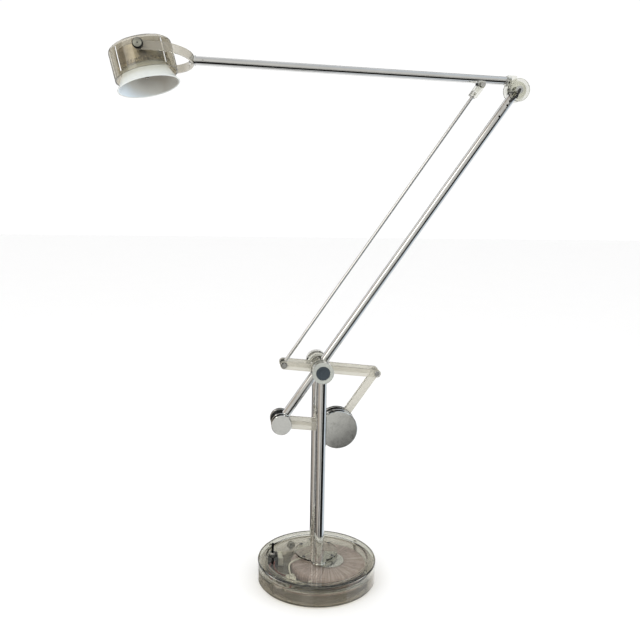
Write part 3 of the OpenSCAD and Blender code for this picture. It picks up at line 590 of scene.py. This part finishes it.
@dataclass(frozen=True)
class Palette:
    """Every finish on the lamp, by the record's slot."""

    finishes: dict[Slot, Finish] = field(default_factory=lambda: {
        Slot.RUBBER: MouldedPlastic("grey_rubber", (0.3, 0.29, 0.26), rough=0.65, grain=0.6),
        Slot.SMOKED: ClearPlastic("smoked_tray_plastic", (0.58, 0.55, 0.49), haze=0.05, ripple=0.5, body=0.07,
                                  lamp_tint=(0.8, 0.78, 0.73)),
        Slot.CLEAR: ClearPlastic("clear_cast_plastic", (0.84, 0.84, 0.79), haze=0.04, ripple=0.3),
        Slot.TINTED: ClearPlastic("cream_tinted_bar", (0.7, 0.68, 0.61), haze=0.14, ripple=0.2, body=0.3),
        Slot.STEEL: TurnedMetal("machined_steel", (0.66, 0.66, 0.64), rough=0.22),
        Slot.POLISHED: TurnedMetal("satin_polished_metal", (0.78, 0.79, 0.78), rough=0.11, patch=0.05),
        Slot.CHROME: BrightChrome("bright_chrome", (0.78, 0.78, 0.77)),
        Slot.WEIGHT: TurnedMetal("turned_weight_steel", (0.56, 0.56, 0.55), rough=0.18),
        Slot.DARK: TurnedMetal("black_knob_metal", (0.035, 0.035, 0.035), rough=0.3),
        Slot.ALUMINIUM: TurnedMetal("spun_aluminium", (0.66, 0.62, 0.54), rough=0.5, patch=0.1),
        Slot.BRASS: TurnedMetal("brass_screw", (0.66, 0.5, 0.24), rough=0.3),
        Slot.BLACK: MouldedPlastic("black_moulding", (0.008, 0.008, 0.008), rough=0.5, shine=0.2),
        Slot.WHITE: MouldedPlastic("off_white_moulding", (0.74, 0.72, 0.65), rough=0.45),
        Slot.WINDING: WoundTape("wound_core_tape", (0.36, 0.27, 0.25), centre=plan_centre("toroid_winding")),
        Slot.BROWN_WIRE: MouldedPlastic("red_brown_wire", (0.16, 0.045, 0.035), rough=0.35, grain=0.1),
        Slot.PALE_WIRE: MouldedPlastic("pale_wire", (0.72, 0.69, 0.6), rough=0.4, grain=0.1),
        Slot.BLACK_WIRE: MouldedPlastic("black_wire", (0.012, 0.012, 0.012), rough=0.35, grain=0.1),
        Slot.FROSTED: FrostedGlass("opal_glass", (0.73, 0.76, 0.74)),
        Slot.BULB: LampGlass("quartz_lamp", (0.97, 0.97, 0.97)),
    })
    special: dict[str, Finish] = field(default_factory=lambda: {
        "head_casing": ClearPlastic("taupe_casing_plastic", (0.62, 0.59, 0.51), haze=0.01, ripple=0.5,
                                    body=0.03, lamp_tint=(0.8, 0.78, 0.72)),
        "yoke": ClearPlastic("taupe_yoke_plastic", (0.6, 0.57, 0.5), haze=0.03, ripple=0.25, body=0.22),
        "knob_face_front": TurnedMetal("greenish_knob_face", (0.36, 0.36, 0.31), rough=0.32),
        "knob_face_rear": TurnedMetal("greenish_knob_face", (0.36, 0.36, 0.31), rough=0.32),
        "switch_lever": MouldedPlastic("black_bat_lever", (0.004, 0.004, 0.004), rough=0.6, shine=0.1),
        # The washers' dark grey is painted shade for the deep groove at the tail.
        "tail_washers": TurnedMetal("painted_shade_washer_metal", (0.3, 0.3, 0.3), rough=0.25),
        "hub_cap_ring": ClearPlastic("cast_ring_plastic", (0.74, 0.76, 0.74), haze=0.06, ripple=0.5,
                                     body=0.3),
        "elbow_pin": TurnedMetal("satin_elbow_pin", (0.82, 0.83, 0.8), rough=0.4),
        "head_can": TurnedMetal("mottled_can_metal", (0.58, 0.54, 0.46), rough=0.38, ring_scale=300.0,
                                patch=0.3),
        "weight_front_disc": TurnedMetal("mottled_weight_face", (0.72, 0.73, 0.71), rough=0.1, patch=0.13),
        "hub_cap_disc": TurnedMetal("blued_cap_metal", (0.12, 0.15, 0.18), rough=0.16, patch=0.25),
        "post_bolts": TurnedMetal("bolt_steel", (0.6, 0.6, 0.58), rough=0.25),
    })
    prefixes: dict[str, Finish] = field(default_factory=lambda: {
        # The white slot strips are a painted highlight along the head's casing.
        "casing_slot_strip": MouldedPlastic("painted_highlight_slot_strip", (0.97, 0.97, 0.97), rough=0.3, contrast=0.02),
    })
    made: dict[Finish, bpy.types.Material] = field(default_factory=dict)

    def get(self, slot: Slot, piece: str = "") -> bpy.types.Material:
        """A piece's material, made on first use.

        Args:
            slot: the piece's slot.
            piece: the piece's name, which may have a finish of its own.

        Returns:
            The material.
        """
        finish = self.special.get(piece, self.finishes[slot])
        for start, shared in self.prefixes.items():
            if piece.startswith(start):
                finish = shared
        if finish not in self.made:
            self.made[finish] = finish.make()
        return self.made[finish]


# ---------------------------------------------------------------------------
# Mesh helpers
# ---------------------------------------------------------------------------

def spun_faces(rings: int, round_steps: int, closed: bool) -> list[tuple[int, int, int, int]]:
    """Quads of a spun outline.

    Args:
        rings: points on the outline.
        round_steps: steps round the axis.
        closed: True if the outline's last point joins its first.

    Returns:
        The faces, as vertex numbers.
    """
    last = rings if closed else rings - 1
    faces = []
    for i in range(last):
        j = (i + 1) % rings
        for k in range(round_steps):
            m = (k + 1) % round_steps
            faces.append((i * round_steps + k, i * round_steps + m, j * round_steps + m, j * round_steps + k))
    return faces


def turned_about(axis: Vector, centre: Vector) -> Matrix:
    """A frame whose Z lies along an axis.

    Args:
        axis: direction of the frame's Z.
        centre: the frame's origin.

    Returns:
        The frame as a matrix.
    """
    return Matrix.Translation(centre) @ axis.to_track_quat("Z", "Y").to_matrix().to_4x4()


@dataclass
class Workshop:
    """What every sub-assembly uses to dress CAD nodes and to add pieces."""

    frame: dict
    palette: Palette

    def dress(self, slot: Slot, nodes: Iterable[str]) -> None:
        """Give CAD nodes a finish.

        Args:
            slot: the finish's slot.
            nodes: names of the CAD nodes.
        """
        for name in nodes:
            piece = self.frame["nodes"][name]
            for place in piece.material_slots:
                place.material = self.palette.get(slot, name)
            log.info("dressed %s in %s", name, slot.value)

    def add(self, name: str, points: Sequence[Vector], faces: Sequence[Sequence[int]], body: str, slot: Slot,
            edge: Edge = Edge.SMOOTH, replaces: Sequence[str] = ()) -> bpy.types.Object:
        """Add a piece.

        Args:
            name: the piece's name.
            points: its vertices, in metres in the frame.
            faces: its faces.
            body: the CAD body that it rides on.
            slot: its finish.
            edge: how its faces are shaded.
            replaces: CAD nodes that it stands for.

        Returns:
            The new object.
        """
        mesh = bpy.data.meshes.new(name)
        mesh.from_pydata([tuple(p) for p in points], [], [tuple(f) for f in faces])
        bm = bmesh.new()
        bm.from_mesh(mesh)
        bmesh.ops.recalc_face_normals(bm, faces=bm.faces)
        bm.to_mesh(mesh)
        bm.free()
        mesh.polygons.foreach_set("use_smooth", [True] * len(mesh.polygons))
        if edge is Edge.BY_ANGLE:
            mesh.set_sharp_from_angle(angle=SHARP_EDGE)
        mesh.materials.append(self.palette.get(slot, name))
        piece = bpy.data.objects.new(name, mesh)
        bpy.context.scene.collection.objects.link(piece)
        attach(piece, body)
        if replaces:
            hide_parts(*replaces)
        log.info("built %s on %s, %d faces", name, body, len(faces))
        return piece

    def spin(self, name: str, outline: Sequence[tuple[float, float]], where: Matrix, body: str, slot: Slot,
             steps: int = 96, edge: Edge = Edge.BY_ANGLE, ripple: Optional[Callable[[float], float]] = None,
             replaces: Sequence[str] = ()) -> bpy.types.Object:
        """Add a piece spun from a closed outline.

        Args:
            name: the piece's name.
            outline: radius and height of each point, in metres.
            where: frame whose Z is the axis.
            body: the CAD body that it rides on.
            slot: its finish.
            steps: steps round the axis.
            edge: how its faces are shaded.
            ripple: outward offset in metres at an angle, or None.
            replaces: CAD nodes that it stands for.

        Returns:
            The new object.
        """
        points = []
        for radius, height in outline:
            for k in range(steps):
                angle = math.tau * k / steps
                out = radius + (ripple(angle) if ripple else 0.0)
                points.append(where @ Vector((out * math.cos(angle), out * math.sin(angle), height)))
        return self.add(name, points, spun_faces(len(outline), steps, True), body, slot, edge, replaces)


def joint_place(frame: dict, name: str) -> tuple[Vector, Vector]:
    """Where a joint is.

    Args:
        frame: the loaded frame.
        name: the joint's name.

    Returns:
        A point on its axis, and the axis.
    """
    for joint in frame["joints"]:
        if joint["name"] == name:
            return Vector(joint["pos_m"]), Vector(joint["axis"]).normalized()
    raise KeyError(name)


# ---------------------------------------------------------------------------
# Sub-assemblies
# ---------------------------------------------------------------------------

@dataclass
class DrumBase:
    """The drum base with its transformer, switch, terminals and leads."""

    shop: Workshop
    turns: int = TAPE_TURNS
    ridge: float = 0.45 * MM
    ridge_rise: float = 0.15
    corner: float = 8 * MM
    corner_steps: int = 5
    hole_r: float = 28 * MM
    steps_per_turn: int = 5

    def build(self) -> None:
        """Dress the base and wind its transformer."""
        shop = self.shop
        shop.dress(Slot.RUBBER, ["base_pad", "cord_inlet"])
        shop.dress(Slot.SMOKED, ["base_tray"])
        shop.dress(Slot.CLEAR, ["base_cover"])
        shop.dress(Slot.STEEL, ["base_screws", "toroid_clamp", "switch_bushing"])
        shop.dress(Slot.WHITE, ["terminal_block", "fuse_holder"])
        shop.dress(Slot.BRASS, ["terminal_screws"])
        shop.dress(Slot.BLACK, ["switch_body", "switch_lever"])
        shop.dress(Slot.BROWN_WIRE, ["mains_leads"])
        shop.dress(Slot.PALE_WIRE, ["lamp_leads"])
        self.wind()

    def wind(self) -> None:
        """Replace the plain ring with one that shows its turns of tape."""
        low, high = (Vector(p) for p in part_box("toroid_winding"))
        outer = (high.x - low.x) / 2 - self.ridge * 1.2
        tall = high.z - low.z
        where = Matrix.Translation(Vector(((low.x + high.x) / 2, (low.y + high.y) / 2, low.z)))
        c = self.corner
        outline = []
        for cx, cz, start in ((outer - c, c, -90), (outer - c, tall - c, 0),
                              (self.hole_r + c, tall - c, 90), (self.hole_r + c, c, 180)):
            for step in range(self.corner_steps + 1):
                a = math.radians(start + 90 * step / self.corner_steps)
                outline.append((cx + c * math.cos(a), cz + c * math.sin(a)))

        def turn(angle: float) -> float:
            """Height of the tape's edge at an angle."""
            part = (angle / math.tau * self.turns) % 1.0
            return self.ridge * ((1.0 - part) if part > self.ridge_rise else part / self.ridge_rise)

        self.shop.spin("toroid_wound_tape", outline, where, "stand", Slot.WINDING,
                       steps=self.turns * self.steps_per_turn, edge=Edge.SMOOTH, ripple=turn,
                       replaces=["toroid_winding"])


@dataclass
class Column:
    """The twin posts, their foot plate and the hub."""

    shop: Workshop

    def build(self) -> None:
        """Dress the column and hub."""
        shop = self.shop
        shop.dress(Slot.CLEAR, ["column_plate", "hub_housings", "hub_rear_cap", "hub_spacers"])
        shop.dress(Slot.STEEL, ["column_screws", "hub_axle"])
        shop.dress(Slot.CHROME, ["posts"])
        shop.dress(Slot.BLACK, ["post_bolts", "hub_cap_disc"])
        shop.dress(Slot.POLISHED, ["hub_cap_ring"])


@dataclass
class MainArm:
    """The long tube with its hub sleeve, tail drum and elbow knuckle."""

    shop: Workshop

    def build(self) -> None:
        """Dress the main arm."""
        shop = self.shop
        shop.dress(Slot.CHROME, ["main_tube"])
        shop.dress(Slot.CLEAR, ["arm_hub_drum", "elbow_knuckle"])
        shop.dress(Slot.POLISHED, ["tail_drum", "tail_caps"])
        shop.dress(Slot.STEEL, ["tail_pin", "elbow_pin"])
        # The tail washers are a dark piece that paints the shade in the tail's deep groove.
        shop.dress(Slot.BLACK, ["tail_washers"])
        shop.dress(Slot.BLACK_WIRE, ["elbow_lead"])


@dataclass
class Linkage:
    """The balance lever, tie rod, rear link and counterweight."""

    shop: Workshop
    ring_r: float = 5.4 * MM
    ring_wire: float = 1.1 * MM
    ring_sides: int = 12

    def build(self) -> None:
        """Dress the linkage and add the black rings on the rod's pin."""
        shop = self.shop
        shop.dress(Slot.TINTED, ["lever_plates", "balance_link", "lower_plates"])
        shop.dress(Slot.STEEL, ["lever_pins", "weight_axle"])
        shop.dress(Slot.CLEAR, ["lever_spacers", "rod_clevis"])
        shop.dress(Slot.CHROME, ["tie_rod"])
        shop.dress(Slot.POLISHED, ["weight_front_disc"])
        shop.dress(Slot.WEIGHT, ["weight_rear_discs"])
        self.pin_rings()

    def pin_rings(self) -> None:
        """Put a black ring round each head of the rod's pin."""
        centre, axis = joint_place(self.shop.frame, "rod_pivot")
        low, high = (Vector(p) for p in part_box("lever_pins"))
        angles = [math.tau * k / self.ring_sides for k in range(self.ring_sides)]
        outline = [(self.ring_r + self.ring_wire * math.cos(a), self.ring_wire * math.sin(a)) for a in angles]
        for name, y in (("rod_pin_ring_front", low.y + self.ring_wire),
                        ("rod_pin_ring_rear", high.y - self.ring_wire)):
            middle = Vector((centre.x, y, centre.z))
            self.shop.spin(name, outline, turned_about(axis, middle), "balance_lever", Slot.BLACK,
                           steps=48, edge=Edge.SMOOTH)


@dataclass
class Forearm:
    """The forearm tube, its elbow cheeks and its fittings."""

    shop: Workshop

    def build(self) -> None:
        """Dress the forearm."""
        shop = self.shop
        shop.dress(Slot.CHROME, ["forearm_tube"])
        shop.dress(Slot.ALUMINIUM, ["forearm_plugs"])
        shop.dress(Slot.STEEL, ["forearm_screws", "saddle_pin"])
        shop.dress(Slot.CLEAR, ["elbow_cheeks", "forearm_block"])
        shop.dress(Slot.POLISHED, ["rod_saddle", "swivel_bolt"])


@dataclass
class Yoke:
    """The clear yoke with its two pivot knobs."""

    shop: Workshop
    inlay_r: float = 8.2 * MM
    inlay_t: float = 0.5 * MM
    bore_r: float = 1.4 * MM
    groove: tuple[float, float, float] = (0.55, 0.6, 0.66)

    def build(self) -> None:
        """Dress the yoke and set a grooved face in each knob."""
        self.shop.dress(Slot.CLEAR, ["yoke"])
        self.shop.dress(Slot.DARK, ["yoke_knobs"])
        pivot, axis = joint_place(self.shop.frame, "head_tilt")
        mesh = self.shop.frame["nodes"]["yoke_knobs"].data
        reach = [(vertex.co - pivot).dot(axis) for vertex in mesh.vertices]
        t = self.inlay_t
        inner, deep, outer = (self.inlay_r * share for share in self.groove)
        outline = [(self.bore_r, -t), (self.bore_r, t * 0.5), (self.bore_r + t, t), (inner, t),
                   (deep, t * 0.5), (outer, t), (self.inlay_r - t, t),
                   (self.inlay_r, t * 0.5), (self.inlay_r, -t)]
        for name, out, end in (("knob_face_front", axis, max(reach)), ("knob_face_rear", -axis, -min(reach))):
            self.shop.spin(name, outline, turned_about(out, pivot + out * end), "yoke_arm", Slot.POLISHED,
                           steps=64)


@dataclass
class Head:
    """The tilting head: casing, can, opal shade and lamp."""

    shop: Workshop
    neck_r: float = 43 * MM
    rim_r: float = 62 * MM
    wall: float = 2.6 * MM
    flare: float = 1.35
    low: float = -60 * MM
    high: float = -17.5 * MM
    rows: int = 28
    shade_steps: int = 128
    lip_steps: int = 8
    top_slope: float = 0.8
    top_reach: float = 20 * MM
    # Slot strips: a painted highlight line on the casing.
    strips: int = 4
    strip_w: float = 3.1 * MM
    strip_t: float = 1.6 * MM
    strip_r: float = 60.0 * MM
    strip_low: float = -33.6 * MM
    strip_high: float = 14.6 * MM

    def frame_at(self) -> Matrix:
        """The head's own frame: origin on the tilt axis and Z up the casing.

        Returns:
            The frame as a matrix.
        """
        pivot, tilt = joint_place(self.shop.frame, "head_tilt")
        top = self.way_up("head_casing", pivot)
        up = (top - tilt * top.dot(tilt)).normalized()
        side = (-tilt).cross(up).normalized()
        turn = Matrix((side, -tilt, up)).transposed().to_4x4()
        return Matrix.Translation(pivot) @ turn

    def way_up(self, node: str, pivot: Vector) -> Vector:
        """Direction from the pivot up the casing.

        Args:
            node: the casing's node.
            pivot: a point on the tilt axis.

        Returns:
            The mean outward normal of the casing's flat top.
        """
        mesh = self.shop.frame["nodes"][node].data
        total = Vector((0, 0, 0))
        for face in mesh.polygons:
            if face.normal.z > self.top_slope and (face.center - pivot).length > self.top_reach:
                total += face.normal * face.area
        return total.normalized()

    def build(self) -> None:
        """Dress the head and blow its shade."""
        shop = self.shop
        shop.dress(Slot.CLEAR, ["head_casing"])
        shop.dress(Slot.ALUMINIUM, ["head_can"])
        shop.dress(Slot.WHITE, ["lamp_holder"])
        shop.dress(Slot.BULB, ["bulb"])
        self.blow_shade()
        # Pale strips in the casing's slots paint its bright highlight line.
        self.fit_highlight_strips()

    def fit_highlight_strips(self) -> None:
        """Fit a pale strip in each slot of the casing: the slots are real, and the strip's white is a painted
        highlight line.
        """
        place = self.frame_at()
        across = [(-1.0, 0.0), (-1.0, 0.6), (-0.6, 1.0), (0.6, 1.0), (1.0, 0.6), (1.0, 0.0)]
        half = self.strip_w / 2
        for number in range(self.strips):
            angle = math.tau * (number + 0.5) / self.strips
            out = Vector((math.cos(angle), math.sin(angle), 0.0))
            side = Vector((-math.sin(angle), math.cos(angle), 0.0))
            points = []
            for height in (self.strip_low, self.strip_high):
                for u, v in across:
                    local = out * (self.strip_r + v * self.strip_t) + side * (u * half)
                    points.append(place @ (local + Vector((0.0, 0.0, height))))
            n = len(across)
            faces: list[Sequence[int]] = [(k, (k + 1) % n, n + (k + 1) % n, n + k) for k in range(n)]
            faces.append(list(range(n)))
            faces.append(list(range(2 * n - 1, n - 1, -1)))
            self.shop.add(f"casing_slot_strip_{number + 1}", points, faces, "head", Slot.WHITE, Edge.BY_ANGLE)

    def shade_radius(self, part: float) -> float:
        """Outer radius at a share of the height, 0 at the rim and 1 at the neck."""
        return self.neck_r + (self.rim_r - self.neck_r) * (1.0 - part) ** self.flare

    def blow_shade(self) -> None:
        """Replace the plain shade with a smooth bell that has a fire-polished rim."""
        tall = self.high - self.low
        rows = self.rows
        outer = [(self.shade_radius(i / rows), self.low + tall * i / rows) for i in range(1, rows + 1)]
        inner = [(self.shade_radius(i / rows) - self.wall, self.low + tall * i / rows)
                 for i in range(rows, 0, -1)]
        half = self.wall / 2
        lip = [(self.rim_r - half + half * math.cos(a), self.low + half + half * math.sin(a))
               for a in (math.pi * (1.0 + k / self.lip_steps) for k in range(self.lip_steps + 1))]
        steps = self.shade_steps
        place = self.frame_at()
        bell = self.shop.spin("opal_shade", outer + inner + lip, place, "head", Slot.FROSTED,
                              steps=steps, replaces=["shade"])
        back = place.inverted()
        # The bell's inside faces get their own material: painted shade and a painted reflection of the can by
        # the neck, painted cool light by the rim and to one side.
        inside = PaintedShadeGlassInside("opal_glass_inside_painted_shade", (0.72, 0.82, 0.9), turn=tuple(back.to_euler()),
                             shift=tuple(back.translation))
        bell.data.materials.append(inside.make())
        for face in bell.data.polygons[rows * steps:2 * rows * steps]:
            face.material_index = 1


# ---------------------------------------------------------------------------
# Studio
# ---------------------------------------------------------------------------

@dataclass(frozen=True)
class SoftBox:
    """One soft rectangular light."""

    name: str
    place: tuple[float, float, float]
    aim: tuple[float, float, float]
    width: float
    height: float
    power: float
    colour: Colour = (1.0, 1.0, 1.0)

    def hang(self) -> None:
        """Hang the light."""
        lamp = bpy.data.lights.new(self.name, "AREA")
        lamp.shape = "RECTANGLE"
        lamp.size = self.width
        lamp.size_y = self.height
        lamp.energy = self.power
        lamp.color = self.colour
        holder = bpy.data.objects.new(self.name, lamp)
        holder.location = self.place
        holder.rotation_euler = (Vector(self.aim) - Vector(self.place)).to_track_quat("-Z", "Y").to_euler()
        bpy.context.scene.collection.objects.link(holder)


@dataclass(frozen=True)
class Stripe:
    """A band of dark in the room, round a great circle, that draws a line along bright metal."""

    across: tuple[float, float, float]
    offset: float
    half_width: float
    soft: float
    depth: float


@dataclass(frozen=True)
class Room:
    """What bright and clear pieces mirror: warm left, cool right, dim near side, white far side."""

    warm: Colour = (0.5, 0.44, 0.38)
    cool: Colour = (0.66, 0.74, 0.82)
    dim: Colour = (0.66, 0.65, 0.62)
    far: Colour = (1.0, 1.0, 1.0)
    even: float = 1.03
    side_reach: tuple[float, float] = (-0.8, 0.8)
    near_reach: tuple[float, float] = (0.2, 0.95)
    far_reach: tuple[float, float] = (0.1, 0.55)
    stripes: tuple[Stripe, ...] = (
        Stripe((0.542, 0.394, -0.742), 0.25, 0.29, 0.02, 0.98),
        Stripe((0.542, 0.394, -0.742), -0.215, 0.035, 0.02, 0.9),
    )

    def build(self) -> bpy.types.World:
        """Fill in the world's node tree.

        Returns:
            The world.
        """
        world = bpy.data.worlds.new("studio_room")
        world.use_nodes = True
        world.cycles.sampling_method = "NONE"
        tree = world.node_tree
        ground = tree.nodes["Background"]
        ground.inputs["Strength"].default_value = self.even
        heading = tree.nodes.new("ShaderNodeTexCoord").outputs["Generated"]
        right = self.share(tree, heading, (1, 0, 0), *self.side_reach)
        sides = self.mix(tree, right, rgba(self.warm), rgba(self.cool))
        near = self.mix(tree, self.share(tree, heading, (0, -1, 0), *self.near_reach), sides, rgba(self.dim))
        tone = self.mix(tree, self.share(tree, heading, (0, 1, 0), *self.far_reach), near, rgba(self.far))
        way = tree.nodes.new("ShaderNodeLightPath")
        mirrored = tree.nodes.new("ShaderNodeMath")
        mirrored.operation = "SUBTRACT"
        mirrored.use_clamp = True
        tree.links.new(way.outputs["Is Glossy Ray"], mirrored.inputs[0])
        tree.links.new(way.outputs["Is Transmission Ray"], mirrored.inputs[1])
        for stripe in self.stripes:
            dark = tree.nodes.new("ShaderNodeMath")
            dark.operation = "MULTIPLY"
            tree.links.new(self.band(tree, heading, stripe), dark.inputs[0])
            tree.links.new(mirrored.outputs[0], dark.inputs[1])
            tone = self.mix(tree, dark.outputs[0], tone, (0.0, 0.0, 0.0, 1.0))
        plain = tree.nodes.new("ShaderNodeMath")
        plain.operation = "MAXIMUM"
        tree.links.new(way.outputs["Is Camera Ray"], plain.inputs[0])
        tree.links.new(way.outputs["Is Diffuse Ray"], plain.inputs[1])
        final = self.mix(tree, plain.outputs[0], tone, (1.0, 1.0, 1.0, 1.0))
        tree.links.new(final, ground.inputs["Color"])
        return world

    @staticmethod
    def mix(tree: bpy.types.NodeTree, share: bpy.types.NodeSocket, first: object,
            second: object) -> bpy.types.NodeSocket:
        """Blend two colours.

        Args:
            tree: the world's node tree.
            share: how much of the second colour.
            first: a colour or a socket.
            second: a colour or a socket.

        Returns:
            The blended colour's socket.
        """
        node = tree.nodes.new("ShaderNodeMix")
        node.data_type = "RGBA"
        tree.links.new(share, node.inputs[0])
        for socket, value in ((node.inputs[6], first), (node.inputs[7], second)):
            if isinstance(value, bpy.types.NodeSocket):
                tree.links.new(value, socket)
            else:
                socket.default_value = value
        return node.outputs[2]

    @staticmethod
    def share(tree: bpy.types.NodeTree, heading: bpy.types.NodeSocket, along: Sequence[float],
              low: float, high: float) -> bpy.types.NodeSocket:
        """How far a heading lies along a direction.

        Args:
            tree: the world's node tree.
            heading: the ray's heading.
            along: the direction.
            low: cosine that gives 0.
            high: cosine that gives 1.

        Returns:
            The share's socket.
        """
        dot = tree.nodes.new("ShaderNodeVectorMath")
        dot.operation = "DOT_PRODUCT"
        tree.links.new(heading, dot.inputs[0])
        dot.inputs[1].default_value = along
        node = tree.nodes.new("ShaderNodeMapRange")
        node.interpolation_type = "SMOOTHSTEP"
        node.inputs["From Min"].default_value = low
        node.inputs["From Max"].default_value = high
        tree.links.new(dot.outputs["Value"], node.inputs["Value"])
        return node.outputs[0]

    def band(self, tree: bpy.types.NodeTree, heading: bpy.types.NodeSocket,
             stripe: Stripe) -> bpy.types.NodeSocket:
        """How deep in a stripe a heading is.

        Args:
            tree: the world's node tree.
            heading: the ray's heading.
            stripe: the stripe.

        Returns:
            The depth's socket.
        """
        low = stripe.offset - stripe.half_width
        high = stripe.offset + stripe.half_width
        rising = self.share(tree, heading, stripe.across, low - stripe.soft, low)
        falling = self.share(tree, heading, stripe.across, high + stripe.soft, high)
        both = tree.nodes.new("ShaderNodeMath")
        both.operation = "MINIMUM"
        tree.links.new(rising, both.inputs[0])
        tree.links.new(falling, both.inputs[1])
        deep = tree.nodes.new("ShaderNodeMath")
        deep.operation = "MULTIPLY"
        tree.links.new(both.outputs[0], deep.inputs[0])
        deep.inputs[1].default_value = stripe.depth
        return deep.outputs[0]


@dataclass
class Studio:
    """Pale floor, even room, soft lights and the camera."""

    floor_half: float = 12.0
    paper: StudioPaper = StudioPaper("studio_paper", (0.985, 0.985, 0.985))
    room: Room = Room()
    camera_place: tuple[float, float, float] = (-0.18962, -1.51084, 0.84902)
    yaw: float = 7.076
    pitch: float = 9.952
    roll: float = 1.03
    lens: float = 41.52
    boxes: tuple[SoftBox, ...] = (
        SoftBox("key_softbox", (-1.9, -1.5, 2.3), (0.0, 0.0, 0.6), 1.4, 1.8, 15.0, (1.0, 0.985, 0.95)),
        SoftBox("fill_softbox", (2.1, -1.0, 1.5), (0.0, 0.0, 0.6), 1.0, 2.0, 7.0, (0.94, 0.97, 1.0)),
    )

    def build(self) -> None:
        """Set up the floor, light and camera."""
        self.floor()
        self.lights()
        self.camera()
        bpy.context.scene.view_settings.view_transform = "Standard"
        bpy.context.scene.view_settings.look = "None"

    def floor(self) -> None:
        """Lay the pale floor."""
        h = self.floor_half
        mesh = bpy.data.meshes.new("studio_floor")
        mesh.from_pydata([(-h, -h, 0), (h, -h, 0), (h, h, 0), (-h, h, 0)], [], [(0, 1, 2, 3)])
        mesh.materials.append(self.paper.make())
        piece = bpy.data.objects.new("studio_floor", mesh)
        piece.visible_glossy = False
        bpy.context.scene.collection.objects.link(piece)

    def lights(self) -> None:
        """Light the room evenly and hang the soft boxes."""
        bpy.context.scene.world = self.room.build()
        for box in self.boxes:
            box.hang()

    def camera(self) -> None:
        """Set the camera where the lamp is seen from."""
        yaw, pitch, roll = (math.radians(v) for v in (self.yaw, self.pitch, self.roll))
        ahead = Vector((math.sin(yaw) * math.cos(pitch), math.cos(yaw) * math.cos(pitch), -math.sin(pitch)))
        right = Vector((math.cos(yaw), -math.sin(yaw), 0.0))
        up = right.cross(ahead)
        across = right * math.cos(roll) + up * math.sin(roll)
        above = up * math.cos(roll) - right * math.sin(roll)
        data = bpy.data.cameras.new("studio_camera")
        data.lens = self.lens
        data.sensor_width = 36.0
        data.clip_start = 0.05
        data.clip_end = 60.0
        camera = bpy.data.objects.new("studio_camera", data)
        turn = Matrix((across, above, -ahead)).transposed().to_4x4()
        camera.matrix_world = Matrix.Translation(self.camera_place) @ turn
        bpy.context.scene.collection.objects.link(camera)
        bpy.context.scene.camera = camera


def main() -> None:
    """Build the lamp's looks round its frame."""
    logging.basicConfig(level=logging.INFO, format="%(name)s: %(message)s")
    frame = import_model()
    shop = Workshop(frame, Palette())
    Studio().build()
    for kind in (DrumBase, Column, MainArm, Linkage, Forearm, Yoke, Head):
        kind(shop).build()
        log.info("finished %s", kind.__name__)


if __name__ == "__main__":
    main()
